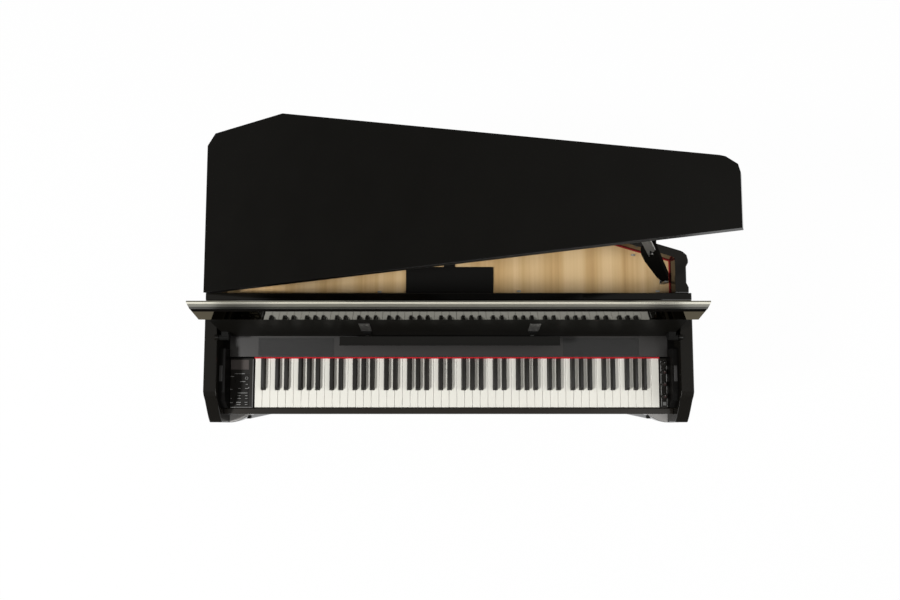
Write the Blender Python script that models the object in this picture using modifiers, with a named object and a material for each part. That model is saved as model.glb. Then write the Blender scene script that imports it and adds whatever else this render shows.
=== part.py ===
"""Digital grand piano: case, keyboard, fallboard, lid, stay and pedals as separate solids.

Lengths are in metres, +Z is up, the player sits on the -Y side and the bass is at -X.
The origin is on the floor, under the middle of the piano's width and depth.
Sizes named back are measured back from the fronts of the white keys, and sizes named
above are measured up from the tops of the white keys.
"""
import math

import bmesh
import bpy
from mathutils import Matrix, Vector

PIANO = "digital_grand_piano"

# Fits
GAP = 0.0003
PIN_GAP = 0.0003
KEY_GAP = 0.00105

# Overall
KEY_TOP_Z = 0.735
FRONT_EDGE_BACK = -0.048
REAR_EDGE_BACK = 0.807
BODY_WIDTH = 1.434
CASE_EDGE = 0.002

# Arms beside the keys
ARM_THICKNESS = 0.037
ARM_TOP_ABOVE = 0.068
ARM_CURVE = (
    (0.047, 0.068), (0.034, 0.0625), (0.0206, 0.052), (-0.009, 0.035), (-0.030, 0.0215), (-0.044, 0.010),
)
ARM_FRONT_BACK = -0.045
ARM_HIGH_BOTTOM_ABOVE = -0.060
CHEEK_THICKNESS = 0.020
CHEEK_TOP_ABOVE = 0.050
CHEEK_CURVE = ((0.045, 0.050), (0.020, 0.040), (-0.001, 0.022))
CHEEK_STEP_BACK = 0.174
CHEEK_LOW_ABOVE = 0.0155

# Rim and boards
CASE_BOTTOM_ABOVE = -0.100
RIM_HALF = 0.7095
RIM_THICKNESS = 0.040
RIM_DIAGONAL_THICKNESS = 0.025
RIM_WAIST_DEPTH = 0.0065
RIM_WAIST_BACK = (0.354, 0.367, 0.416, 0.428)
RIM_OVERHANG = 0.0125
CROSSBOARD_BACK = (0.316, 0.3375)
KEYBED_ABOVE = (-0.0597, -0.038)
BOTTOM_THICKNESS = 0.018
SOUNDBOARD_ABOVE = 0.022
SOUNDBOARD_THICKNESS = 0.008
EDGE_FELT_WIDTH = 0.003
EDGE_FELT_HEIGHT = 0.003
COVER_X = (-0.129, 0.135)
COVER_BACK = (0.3446, 0.4238)
COVER_TAB_X = (-0.0145, 0.0191)
COVER_TAB = 0.013
COVER_THICKNESS = 0.003
SLIP_BACK = (-0.0205, -0.0024)
SLIP_ABOVE = (-0.060, -0.005)

# Keyboard
KEY_PITCH = 0.02355
WHITE_KEYS = 52
KEYBOARD_SHIFT = 0.0248
WHITE_LENGTH = 0.1466
KEY_THICKNESS = 0.020
KEY_PIVOT_BACK = 0.235
KEY_PIVOT_ABOVE = -0.010
KEY_END_BACK = 0.243
KEY_PIN_RADIUS = 0.002
KEY_EDGE = 0.0008
BLACK_FRONT_BACK = 0.0524
BLACK_WIDTH = 0.0122
BLACK_TOP_WIDTH = 0.0096
BLACK_HEIGHT = 0.012
BLACK_SLOPE = 0.005
BLACK_TAIL_DROP = 0.001
NOTCH_GAP = 0.0011
BLACK_OFFSETS = {"A": 0.0026, "C": -0.0018, "D": 0.0017, "F": -0.0025, "G": 0.0}
KEY_ORDER = "ABCDEFG"
PLAYED_OCTAVE = 4
FIXED_GAP_END_BACK = 0.205
KEY_RAIL_ABOVE = -0.0245

# Panels round the keys
PANEL_ABOVE = 0.005
PANEL_FRONT_BACK = -0.0018
PANEL_END_BACK = 0.148
PANEL_TO_KEYS = 0.0019
SPEAKER_FRONT_BACK = 0.1516
SPEAKER_ABOVE = (0.0035, 0.0155)
GRILLE_X = (0.346, 0.573)
GRILLE_BACK = (0.155, 0.2086)
GRILLE_THICKNESS = 0.002
GRILLE_LEDGE = 0.004
GRILLE_SLOTS = 26
GRILLE_SLOT_WIDTH = 0.0055
KEY_FELT_BACK = (0.1472, 0.1512)
KEY_FELT_ABOVE = (0.0012, 0.0058)
DISPLAY_SIZE = (0.054, 0.029)
DISPLAY_CENTRE = (-0.6315, 0.1285)
DISPLAY_DEPTH = 0.002
DISPLAY_RISE = 0.0006
BUTTON_AREA_X = (-0.6475, -0.6015)
BUTTON_AREA_BACK = (0.003, 0.102)
BUTTON_POCKET = 0.0030
BUTTON_PLATE = 0.0018
BUTTON_RISE = 0.0015
BUTTON_COLUMNS = (-0.6350, -0.6126)
BUTTON_ROWS_BACK = (0.0088, 0.0142, 0.0268, 0.0316, 0.0506, 0.0560)
BUTTON_SIZE = (0.0120, 0.0036)
ROUND_BUTTON = (-0.6126, 0.088, 0.0042)
CURSOR_BUTTON = (-0.6350, 0.078, 0.0080)
KNOB_BACKS = (0.0318, 0.0685, 0.1051, 0.1306)
KNOB_RADIUS = 0.0080
KNOB_HEIGHT = 0.011
KNOB_SKIRT = 0.0035
KNOB_STEM_RADIUS = 0.003
KNOB_STEM = 0.009
POWER_BACK = (0.0040, 0.0184)
POWER_WIDTH = 0.0126
POWER_RISE = 0.003
POWER_DEPTH = 0.008
POWER_TRAVEL = 0.002

# Fallboard
FALL_AXIS_BACK = 0.2055
FALL_AXIS_ABOVE = 0.068
FALL_LOWER_LEAN = math.radians(13.0)
FALL_UPPER_LEAN = math.radians(18.9)
FALL_AXIS_TO_FOLD = 0.1185
FALL_LOWER_LENGTH = 0.143
FALL_UPPER_LENGTH = 0.063
FALL_LIP_LENGTH = 0.041
FALL_THICKNESS = 0.018
FALL_LOWER_HALF = 0.664
FALL_UPPER_HALF = 0.690
FALL_LIP_HALF = 0.691
FALL_LIP_TAPER = 0.006
FALL_LIP_NOSE = 0.004
FALL_PIN_X = (0.643, 0.671)
FALL_BLOCK_RADIUS = 0.0085
FALL_PIN_RADIUS = 0.004
FALL_EAR_THICKNESS = 0.0075
FALL_EAR_RADIUS = 0.0085
FALL_EAR_FOOT_ABOVE = 0.046
WEB_INSET = 0.0003

# Music shelf
SHELF_X = (-0.320, 0.327)
SHELF_UP_LEAF = 0.026
SHELF_DEPTH = 0.031
SHELF_THICKNESS = 0.006
SHELF_LIP = 0.005
SHELF_AXIS_OUT = 0.0058
SHELF_BARREL_RADIUS = 0.0032
SHELF_PIN_RADIUS = 0.0014
SHELF_HINGES = (-0.238, 0.245)
SHELF_HINGE_WIDTH = 0.031
SHELF_HINGE_TOP = 0.095
SHELF_HINGE_THICKNESS = 0.0016

# Lid and its hinge
LID_WIDTH = 1.432
LID_THICKNESS = 0.020
LID_FRONT_BACK = 0.3353
LID_AXIS_X = -0.707
LID_OPEN = math.radians(29.4)
LID_OUTLINE = (
    (0.0, 0.3353), (1.432, 0.3353), (1.432, 0.438), (1.428, 0.454), (1.408, 0.472),
    (1.398, 0.4765), (0.300, 0.807), (0.033, 0.807), (0.0, 0.776),
)
LID_EDGE = 0.003
LID_BARREL_RADIUS = 0.0025
LID_PIN_RADIUS = 0.0011
LID_LEAF_WIDTH = 0.016
LID_LEAF_THICKNESS = 0.0012
LID_HINGE_BACK = (0.352, 0.762)
LID_KNUCKLES = 9

# Folding lid stay
STAY_FOOT_X = 0.645
STAY_LID_ALONG = 1.240
STAY_LID_DROP = 0.0145
STAY_LOWER_BACK = (0.3760, 0.3960)
STAY_UPPER_BACK = (0.3985, 0.4105)
STAY_LOWER_HALF = 0.0115
STAY_UPPER_HALF = 0.0105
STAY_PIN_RADIUS = 0.003
STAY_EAR = 0.004
STAY_BASE = 0.0025
STAY_SIDE_GAP = 0.0015
ELBOW_PLATE_LENGTH = 0.055
ELBOW_PLATE_THICKNESS = 0.0020

# Legs
LEG_TOP = 0.084
LEG_FOOT = 0.050
LEG_EDGE = 0.004
LEG_SINK = 0.008
LEG_HEAD_INNER = 0.615
LEG_HEAD_BACK = 0.057
LEG_HEAD_SWEEP = 0.026
LEG_HEAD_STEPS = 8
FOOT_RADIUS = 0.022
FOOT_HEIGHT = 0.016
TAIL_LEG = (-0.380, 0.690)
TAIL_PLATE = 0.130
TAIL_PLATE_THICKNESS = 0.014

# Pedals
LYRE_BACK = 0.150
LYRE_POST_X = (0.055, 0.083)
LYRE_POST_DEPTH = 0.026
LYRE_TOP = (0.210, 0.050, 0.024)
LYRE_BAR = 0.020
PEDAL_BOX = (0.280, 0.110, 0.070)
PEDAL_BOX_Z = 0.050
PEDAL_PITCH = 0.070
PEDAL_WIDTH = 0.022
PEDAL_REACH = 0.085
PEDAL_THICKNESS = 0.009
PEDAL_PIVOT_IN = 0.055
PEDAL_TAIL = 0.010
PEDAL_PIN_RADIUS = 0.0025
PEDAL_DIP = math.radians(6.0)
PEDAL_PLAY = 0.0015
BRACE_RADIUS = 0.006
BRACE_BACK = 0.290
BRACE_PAD = (0.050, 0.036, 0.008)

# Values that follow from the driving sizes
BODY_HALF = BODY_WIDTH / 2
ARM_INNER = BODY_HALF - ARM_THICKNESS
CHEEK_INNER = ARM_INNER - CHEEK_THICKNESS
KEYS_LEFT_X = KEYBOARD_SHIFT - WHITE_KEYS * KEY_PITCH / 2
KEYS_RIGHT_X = KEYBOARD_SHIFT + WHITE_KEYS * KEY_PITCH / 2
KEY_FRONT_Y = -(REAR_EDGE_BACK + FRONT_EDGE_BACK) / 2
ARM_TOP_Z = KEY_TOP_Z + ARM_TOP_ABOVE
LID_AXIS_Z = ARM_TOP_Z + GAP / 2
LID_PIVOT_DROP = STAY_LID_DROP - GAP / 2
STAY_PIVOT_Z = LID_AXIS_Z - LID_PIVOT_DROP


def clear_scene():
    """Remove every object, so that the script can run in any file."""
    for item in list(bpy.data.objects):
        bpy.data.objects.remove(item, do_unlink=True)


def new_collection(name):
    """Make a collection under the scene's own."""
    group = bpy.data.collections.new(name)
    bpy.context.scene.collection.children.link(group)
    return group


clear_scene()
PARTS = new_collection(PIANO)
CUTTERS = new_collection("cutters")


def finish_material(name, colour, roughness, metallic=0.0):
    """A Principled material with one colour, roughness and metallic value."""
    material = bpy.data.materials.new(name)
    material.use_nodes = True
    shader = material.node_tree.nodes["Principled BSDF"]
    shader.inputs["Base Color"].default_value = (*colour, 1.0)
    shader.inputs["Roughness"].default_value = roughness
    shader.inputs["Metallic"].default_value = metallic
    return material


GLOSS_BLACK = finish_material("gloss_black", (0.008, 0.008, 0.009), 0.06)
SATIN_BLACK = finish_material("satin_black", (0.030, 0.030, 0.032), 0.45)
SPRUCE = finish_material("spruce", (0.62, 0.47, 0.29), 0.45)
RED_FELT = finish_material("red_felt", (0.34, 0.02, 0.03), 0.95)
KEY_WHITE = finish_material("key_white", (0.86, 0.85, 0.82), 0.25)
KEY_BLACK = finish_material("key_black", (0.012, 0.012, 0.012), 0.30)
BRIGHT_METAL = finish_material("bright_metal", (0.72, 0.72, 0.72), 0.28, 1.0)
BRASS = finish_material("brass", (0.80, 0.58, 0.25), 0.25, 1.0)
SMOKED_GLASS = finish_material("smoked_window", (0.02, 0.03, 0.035), 0.08)
SOFT_GREY = finish_material("soft_grey", (0.10, 0.10, 0.11), 0.60)


def as_part(item, name, material):
    """Name an object and put it with the piano's parts, with one material."""
    item.name = name
    item.data.name = name
    for group in list(item.users_collection):
        group.objects.unlink(item)
    PARTS.objects.link(item)
    item.data.materials.clear()
    item.data.materials.append(material)
    return item


def as_cutter(item, name):
    """Name an object and put it with the cutters, drawn as wires only."""
    item.name = name
    for group in list(item.users_collection):
        group.objects.unlink(item)
    CUTTERS.objects.link(item)
    item.hide_render = True
    item.display_type = "WIRE"
    return item


def shade_round(item, angle=35.0):
    """Smooth shading with sharp edges kept."""
    item.data.shade_smooth()
    item.data.set_sharp_from_angle(angle=math.radians(angle))
    return item


def box(low, high):
    """A box between two corners, with its scale applied."""
    centre = [(a + b) / 2 for a, b in zip(low, high)]
    size = [b - a for a, b in zip(low, high)]
    bpy.ops.mesh.primitive_cube_add(size=1.0, location=centre)
    item = bpy.context.active_object
    item.data.transform(Matrix.Diagonal((*size, 1.0)))
    return item


def rod(start, end, radius, sides=24):
    """A round rod between two points."""
    start, end = Vector(start), Vector(end)
    along = end - start
    bpy.ops.mesh.primitive_cylinder_add(vertices=sides, radius=radius, depth=along.length)
    item = bpy.context.active_object
    item.data.transform(along.to_track_quat("Z", "Y").to_matrix().to_4x4())
    item.location = (start + end) / 2
    return item


def flat_mesh(name, outline, thickness):
    """A plate from a closed outline in its own XY plane, centred on that plane."""
    curve = bpy.data.curves.new(name, "CURVE")
    curve.dimensions = "2D"
    curve.fill_mode = "BOTH"
    curve.extrude = thickness / 2
    spline = curve.splines.new("POLY")
    spline.points.add(len(outline) - 1)
    for point, (u, v) in zip(spline.points, outline):
        point.co = (u, v, 0.0, 1.0)
    spline.use_cyclic_u = True
    item = bpy.data.objects.new(name, curve)
    bpy.context.scene.collection.objects.link(item)
    bpy.context.view_layer.update()
    evaluated = item.evaluated_get(bpy.context.evaluated_depsgraph_get())
    mesh = bpy.data.meshes.new_from_object(evaluated)
    bpy.data.objects.remove(item, do_unlink=True)
    welder = bmesh.new()
    welder.from_mesh(mesh)
    bmesh.ops.remove_doubles(welder, verts=welder.verts, dist=0.00001)
    bmesh.ops.dissolve_limit(welder, angle_limit=0.001, verts=welder.verts, edges=welder.edges)
    bmesh.ops.recalc_face_normals(welder, faces=welder.faces)
    welder.to_mesh(mesh)
    welder.free()
    mesh.name = name
    return mesh


def plan_plate(name, outline, z_low, z_high):
    """A board from an outline seen from above, between two heights."""
    mesh = flat_mesh(name, outline, z_high - z_low)
    mesh.transform(Matrix.Translation((0.0, 0.0, (z_low + z_high) / 2)))
    item = bpy.data.objects.new(name, mesh)
    bpy.context.scene.collection.objects.link(item)
    return item


def side_plate(name, outline, x_low, x_high):
    """A board from an outline of (Y, Z) points seen from the side, between two X places."""
    mesh = flat_mesh(name, outline, x_high - x_low)
    turn = Matrix(((0, 0, 1, (x_low + x_high) / 2), (1, 0, 0, 0), (0, 1, 0, 0), (0, 0, 0, 1)))
    mesh.transform(turn)
    item = bpy.data.objects.new(name, mesh)
    bpy.context.scene.collection.objects.link(item)
    return item


def combine(item, other, operation):
    """Union with, or difference from, another mesh object, applied at once."""
    modifier = item.modifiers.new(operation.lower(), "BOOLEAN")
    modifier.operation = operation
    modifier.solver = "EXACT"
    modifier.object = other
    bpy.context.view_layer.update()
    evaluated = item.evaluated_get(bpy.context.evaluated_depsgraph_get())
    mesh = bpy.data.meshes.new_from_object(evaluated)
    item.modifiers.clear()
    item.data = mesh
    bpy.data.objects.remove(other, do_unlink=True)
    return item


def cut_with(item, cutter, name):
    """Cut a named cutter out of a part with a live Boolean modifier."""
    as_cutter(cutter, name)
    modifier = item.modifiers.new(name, "BOOLEAN")
    modifier.operation = "DIFFERENCE"
    modifier.solver = "EXACT"
    modifier.object = cutter
    return item


def soften(item, width, segments=2):
    """Round the sharp edges of a part."""
    modifier = item.modifiers.new("edges", "BEVEL")
    modifier.width = width
    modifier.segments = segments
    modifier.limit_method = "ANGLE"
    modifier.angle_limit = math.radians(40.0)
    return item


def merged(items):
    """Join mesh objects that don't touch into one mesh object."""
    collector = bmesh.new()
    for item in items:
        mesh = item.data.copy()
        mesh.transform(item.matrix_basis)
        collector.from_mesh(mesh)
        bpy.data.meshes.remove(mesh)
        bpy.data.objects.remove(item, do_unlink=True)
    mesh = bpy.data.meshes.new("merged")
    collector.to_mesh(mesh)
    collector.free()
    item = bpy.data.objects.new("merged", mesh)
    bpy.context.scene.collection.objects.link(item)
    return item


def line_crossing(first, second):
    """Point where two lines, each a point and a direction, cross."""
    (p, d), (q, e) = first, second
    det = d[0] * e[1] - d[1] * e[0]
    t = ((q[0] - p[0]) * e[1] - (q[1] - p[1]) * e[0]) / det
    return (p[0] + t * d[0], p[1] + t * d[1])


def behind_keys(distance):
    """World Y of a place measured back from the fronts of the white keys."""
    return KEY_FRONT_Y + distance


def above_keys(height):
    """World Z of a place measured up from the tops of the white keys."""
    return KEY_TOP_Z + height


def yz(points):
    """Side-view points (back, above) as world (Y, Z) pairs."""
    return [(behind_keys(back), above_keys(above)) for back, above in points]


def keyed_box(x_range, back_range, above_range):
    """A box between two X places, two distances back and two heights above the keys."""
    low = (x_range[0], behind_keys(back_range[0]), above_keys(above_range[0]))
    high = (x_range[1], behind_keys(back_range[1]), above_keys(above_range[1]))
    return box(low, high)


def front_plate(name, outline, y_low, y_high):
    """A plate from an outline of (X, Z) points seen from the front, between two Y places."""
    mesh = flat_mesh(name, outline, y_high - y_low)
    middle = (y_low + y_high) / 2
    mesh.transform(Matrix(((1, 0, 0, 0), (0, 0, -1, middle), (0, 1, 0, 0), (0, 0, 0, 1))))
    item = bpy.data.objects.new(name, mesh)
    bpy.context.scene.collection.objects.link(item)
    return item


def link_outline(start, end, half_width, steps=8):
    """A bar with round ends, as an outline round two end points."""
    heading = math.atan2(end[1] - start[1], end[0] - start[0])
    points = []
    for centre, base in ((end, heading - math.pi / 2), (start, heading + math.pi / 2)):
        for step in range(steps + 1):
            angle = base + math.pi * step / steps
            across = (half_width * math.cos(angle), half_width * math.sin(angle))
            points.append((centre[0] + across[0], centre[1] + across[1]))
    return points


def pivot_at(item, point):
    """Put a moving piece's origin on its joint axis and leave the piece where it is."""
    point = Vector(point)
    item.data.transform(Matrix.Translation(item.location - point))
    item.location = point
    return item


def turn_about(item, point, axis, angle):
    """Turn a piece about a line and keep its scale and rotation applied."""
    point = Vector(point)
    move = Matrix.Translation(point) @ Matrix.Rotation(angle, 4, axis) @ Matrix.Translation(-point)
    item.data.transform(move @ item.matrix_basis)
    item.matrix_basis = Matrix.Identity(4)
    return item


def inset_outline(points, insets):
    """Move each side of a counter-clockwise outline inwards by its own distance."""
    lines = []
    for index, start in enumerate(points):
        end = points[(index + 1) % len(points)]
        length = math.dist(start, end)
        along = ((end[0] - start[0]) / length, (end[1] - start[1]) / length)
        inward = (-along[1], along[0])
        shift = insets[index]
        lines.append(((start[0] + inward[0] * shift, start[1] + inward[1] * shift), along))
    return [line_crossing(lines[index - 1], lines[index]) for index in range(len(points))]


def lid_outline():
    """The closed lid seen from above, counter-clockwise from its front bass corner."""
    return [(LID_AXIS_X + along, behind_keys(back)) for along, back in LID_OUTLINE]


def tail_outline(inset, front_inset):
    """The rim seen from above, with its rounded corners, or an outline a little inside it."""
    edge = RIM_OVERHANG + inset
    treble = LID_AXIS_X + LID_WIDTH - RIM_HALF + inset
    bass = -RIM_HALF - LID_AXIS_X + inset
    sides = [front_inset, treble, treble, edge, edge, edge, edge, edge, bass]
    return inset_outline(lid_outline(), sides)


def inner_outline(inset, front_inset):
    """An outline well inside the rim, with the rim's long sides and plain corners."""
    corners = lid_outline()
    diagonal = (corners[6][0] - corners[5][0], corners[6][1] - corners[5][1])
    treble_end = line_crossing((corners[5], diagonal), (corners[1], (0.0, 1.0)))
    rear_end = (corners[0][0], corners[7][1])
    edge = RIM_OVERHANG + inset
    treble = LID_AXIS_X + LID_WIDTH - RIM_HALF + inset
    bass = -RIM_HALF - LID_AXIS_X + inset
    slant = edge - RIM_THICKNESS + RIM_DIAGONAL_THICKNESS
    outline = [corners[0], corners[1], treble_end, corners[6], rear_end]
    return inset_outline(outline, [front_inset, treble, slant, edge, bass])


def waist_outline():
    """The shallow hollow in the rim's treble side, seen from above and open to the right."""
    outer = RIM_HALF
    deep = outer - RIM_WAIST_DEPTH
    near, near_flat, far_flat, far = [behind_keys(back) for back in RIM_WAIST_BACK]
    wide = outer + 0.02
    outline = [(wide, near), (wide, far), (outer, far)]
    return outline + [(deep, far_flat), (deep, near_flat), (outer, near)]


def build_case():
    """Arms, rim and boards of the body."""
    top = ARM_TOP_ABOVE
    low = CASE_BOTTOM_ABOVE
    high = ARM_HIGH_BOTTOM_ABOVE
    arm_end = CROSSBOARD_BACK[0] - GAP
    step_back = LEG_HEAD_BACK + GAP
    arm_side = [(arm_end, top), *ARM_CURVE, (ARM_FRONT_BACK, ARM_CURVE[-1][1] - 0.004)]
    arm_side += [(ARM_FRONT_BACK, high), (step_back, high), (step_back, low), (arm_end, low)]
    cheek_low = KEYBED_ABOVE[1] + GAP
    cheek_end = arm_end - 0.001
    cheek_side = [(cheek_end, CHEEK_LOW_ABOVE), (CHEEK_STEP_BACK, CHEEK_LOW_ABOVE)]
    cheek_side += [(CHEEK_STEP_BACK, CHEEK_TOP_ABOVE), *CHEEK_CURVE]
    cheek_side += [(CHEEK_CURVE[-1][0], cheek_low), (cheek_end, cheek_low)]
    for name, side in (("left_arm", -1), ("right_arm", 1)):
        outer = sorted((side * ARM_INNER, side * BODY_HALF))
        inner = sorted((side * CHEEK_INNER, side * (ARM_INNER + 0.004)))
        arm = side_plate(name, yz(arm_side), *outer)
        soften(arm, CASE_EDGE)
        combine(arm, side_plate("cheek", yz(cheek_side), *inner), "UNION")
        as_part(arm, name, GLOSS_BLACK)
        axis = (behind_keys(FALL_AXIS_BACK), above_keys(FALL_AXIS_ABOVE))
        ear = link_outline((axis[0], above_keys(FALL_EAR_FOOT_ABOVE)), axis, FALL_EAR_RADIUS)
        ear_x = sorted((side * (ARM_INNER - FALL_EAR_THICKNESS), side * (ARM_INNER + 0.005)))
        combine(arm, side_plate("ear", ear, *ear_x), "UNION")
        hole_end = side * (ARM_INNER - GAP)
        hole = rod((side * (ARM_INNER - 0.01), *axis), (hole_end, *axis), FALL_PIN_RADIUS + PIN_GAP)
        cut_with(arm, hole, name + "_pin_hole")
    crossboard = keyed_box((-BODY_HALF, BODY_HALF), CROSSBOARD_BACK, (low, top))
    soften(as_part(crossboard, "front_crossboard", GLOSS_BLACK), CASE_EDGE)
    front = CROSSBOARD_BACK[1] + GAP - LID_FRONT_BACK
    inner = RIM_THICKNESS
    rim = plan_plate("rim", tail_outline(0.0, front), above_keys(low), above_keys(top))
    through = (above_keys(low - 0.01), above_keys(top + 0.01))
    combine(rim, plan_plate("waist", waist_outline(), *through), "DIFFERENCE")
    hollow = plan_plate("hollow", inner_outline(inner, -0.05), *through)
    soften(rim, CASE_EDGE)
    combine(rim, hollow, "DIFFERENCE")
    as_part(rim, "rim", GLOSS_BLACK)
    ends = (LID_HINGE_BACK[0] - 0.001, LID_HINGE_BACK[1] + 0.001)
    groove_low = GAP / 2 - LID_BARREL_RADIUS - 2 * GAP
    groove_right = LID_AXIS_X + LID_BARREL_RADIUS + 2 * GAP
    groove = keyed_box((-RIM_HALF - 0.01, groove_right), ends, (top + groove_low, top + 0.01))
    cut_with(rim, groove, "rim_barrel_groove")
    leaf_right = LID_AXIS_X + LID_BARREL_RADIUS + LID_LEAF_WIDTH + GAP
    leaf_low = top - LID_LEAF_THICKNESS - GAP
    leaf = keyed_box((groove_right - 0.001, leaf_right), ends, (leaf_low, top + 0.01))
    cut_with(rim, leaf, "rim_leaf_recess")
    inside = inner + GAP
    bottom_top = low + BOTTOM_THICKNESS
    bottom = plan_plate("bottom", inner_outline(inside, front), above_keys(low), above_keys(bottom_top))
    as_part(bottom, "bottom_board", SATIN_BLACK)
    board_low = SOUNDBOARD_ABOVE - SOUNDBOARD_THICKNESS
    board = inner_outline(inside, front)
    soundboard = plan_plate("soundboard", board, above_keys(board_low), above_keys(SOUNDBOARD_ABOVE))
    as_part(soundboard, "soundboard", SPRUCE)
    felt_low = SOUNDBOARD_ABOVE + GAP
    felt = plan_plate(
        "felt", inner_outline(inside, front + 0.0023),
        above_keys(felt_low), above_keys(felt_low + EDGE_FELT_HEIGHT),
    )
    inner_felt = inner_outline(inside + EDGE_FELT_WIDTH, -0.05)
    combine(felt, plan_plate("felt_hollow", inner_felt, above_keys(0.0), above_keys(top)), "DIFFERENCE")
    trim_x = (-1.0, LID_AXIS_X + LID_OUTLINE[6][0] + 0.02)
    combine(felt, keyed_box(trim_x, (0.2, 1.0), (0.0, top)), "DIFFERENCE")
    as_part(felt, "edge_felt", RED_FELT)
    cover_z = (SOUNDBOARD_ABOVE + GAP, SOUNDBOARD_ABOVE + GAP + COVER_THICKNESS)
    cover = keyed_box(COVER_X, COVER_BACK, cover_z)
    tab_back = (COVER_BACK[1] - 0.005, COVER_BACK[1] + COVER_TAB)
    combine(cover, keyed_box(COVER_TAB_X, tab_back, cover_z), "UNION")
    soften(as_part(cover, "centre_cover", SATIN_BLACK), 0.0006, 1)
    width = (-ARM_INNER + GAP, ARM_INNER - GAP)
    keybed = keyed_box(width, (SLIP_BACK[1] + GAP, CROSSBOARD_BACK[0] - GAP), KEYBED_ABOVE)
    as_part(keybed, "keybed", SATIN_BLACK)
    slip = keyed_box(width, SLIP_BACK, SLIP_ABOVE)
    soften(as_part(slip, "key_slip", GLOSS_BLACK), CASE_EDGE)


def black_boundaries():
    """X of the middle of the black key at each white-key boundary that has one."""
    found = {}
    for index in range(1, WHITE_KEYS):
        note = KEY_ORDER[(index - 1) % 7]
        if note in BLACK_OFFSETS:
            found[index] = KEYS_LEFT_X + index * KEY_PITCH + BLACK_OFFSETS[note]
    return found


def white_outline(index, end_back):
    """One white key seen from above, with its notches, counter-clockwise."""
    blacks = black_boundaries()
    left = KEYS_LEFT_X + index * KEY_PITCH + KEY_GAP / 2
    right = left + KEY_PITCH - KEY_GAP
    front = behind_keys(0.0)
    step = behind_keys(BLACK_FRONT_BACK - NOTCH_GAP)
    end = behind_keys(end_back)
    reach = BLACK_WIDTH / 2 + NOTCH_GAP
    points = [(left, front), (right, front)]
    inner_right = right
    inner_left = left
    if index + 1 in blacks:
        inner_right = blacks[index + 1] - reach
        points += [(right, step), (inner_right, step)]
    if index in blacks:
        inner_left = blacks[index] + reach
    points += [(inner_right, end), (inner_left, end)]
    if index in blacks:
        points += [(inner_left, step), (left, step)]
    return points


def black_key(centre, end_back):
    """One black key: a sloped front, a tapered top and a low tail under the panel."""
    low = -KEY_THICKNESS
    side = [
        (BLACK_FRONT_BACK, low), (end_back, low), (end_back, -BLACK_TAIL_DROP),
        (WHITE_LENGTH, -BLACK_TAIL_DROP), (WHITE_LENGTH, BLACK_HEIGHT),
        (BLACK_FRONT_BACK + BLACK_SLOPE, BLACK_HEIGHT), (BLACK_FRONT_BACK, 0.001),
    ]
    item = side_plate("black", yz(side), centre - BLACK_WIDTH / 2, centre + BLACK_WIDTH / 2)
    for vertex in item.data.vertices:
        if vertex.co.z > above_keys(BLACK_HEIGHT) - 0.0001:
            vertex.co.x = centre + (vertex.co.x - centre) * BLACK_TOP_WIDTH / BLACK_WIDTH
    return item


def key_pin(left, right, radius):
    """A rod along the keys' pivot line."""
    place = (behind_keys(KEY_PIVOT_BACK), above_keys(KEY_PIVOT_ABOVE))
    return rod((left, *place), (right, *place), radius, 12)


def build_keyboard():
    """Fixed keys on one rail, and one octave of keys that each turn on the pivot rod."""
    first = 2 + 7 * (PLAYED_OCTAVE - 1)
    played = range(first, first + 7)
    blacks = black_boundaries()
    played_blacks = [index for index in blacks if first < index < first + 7]
    z_low = above_keys(-KEY_THICKNESS)
    z_high = above_keys(0.0)
    pivot_y = behind_keys(KEY_PIVOT_BACK)
    pivot_z = above_keys(KEY_PIVOT_ABOVE)
    for index in played:
        note = KEY_ORDER[index % 7]
        name = "key_" + note.lower() + str(PLAYED_OCTAVE)
        key = plan_plate(name, white_outline(index, KEY_END_BACK), z_low, z_high)
        as_part(key, name, KEY_WHITE)
        soften(key, KEY_EDGE, 1)
        x = KEYS_LEFT_X + (index + 0.5) * KEY_PITCH
        cut_with(key, key_pin(x - KEY_PITCH, x + KEY_PITCH, KEY_PIN_RADIUS + PIN_GAP), name + "_hole")
        pivot_at(key, (x, pivot_y, pivot_z))
    for index in played_blacks:
        note = KEY_ORDER[(index - 1) % 7]
        name = "key_" + note.lower() + "_sharp" + str(PLAYED_OCTAVE)
        key = black_key(blacks[index], KEY_END_BACK)
        as_part(key, name, KEY_BLACK)
        soften(key, KEY_EDGE, 1)
        x = blacks[index]
        cut_with(key, key_pin(x - KEY_PITCH, x + KEY_PITCH, KEY_PIN_RADIUS + PIN_GAP), name + "_hole")
        pivot_at(key, (x, pivot_y, pivot_z))
    left_of_played = KEYS_LEFT_X + first * KEY_PITCH - KEY_GAP / 2
    right_of_played = left_of_played + 7 * KEY_PITCH + KEY_GAP
    bodies = []
    for index in range(WHITE_KEYS):
        if index not in played:
            outline = white_outline(index, KEY_END_BACK)
            bodies.append(plan_plate("white", outline, z_low, z_high))
    whites = merged(bodies)
    fixed_blacks = [black_key(x, KEY_END_BACK) for index, x in blacks.items() if index not in played_blacks]
    blacks_mesh = merged(fixed_blacks)
    rail_low = KEYBED_ABOVE[1] + GAP
    rail_back = (FIXED_GAP_END_BACK, KEY_END_BACK + 0.002)
    ends = (KEYS_LEFT_X + KEY_GAP / 2, KEYS_RIGHT_X - KEY_GAP / 2)
    rail = keyed_box(ends, rail_back, (rail_low, KEY_RAIL_ABOVE))
    post_high = -0.0005
    combine(rail, keyed_box((ends[0], left_of_played), rail_back, (rail_low, post_high)), "UNION")
    combine(rail, keyed_box((right_of_played, ends[1]), rail_back, (rail_low, post_high)), "UNION")
    combine(rail, key_pin(left_of_played - 0.01, right_of_played + 0.01, KEY_PIN_RADIUS), "UNION")
    combine(rail, whites, "UNION")
    combine(rail, blacks_mesh, "UNION")
    as_part(rail, "fixed_keys", KEY_WHITE)


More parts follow.
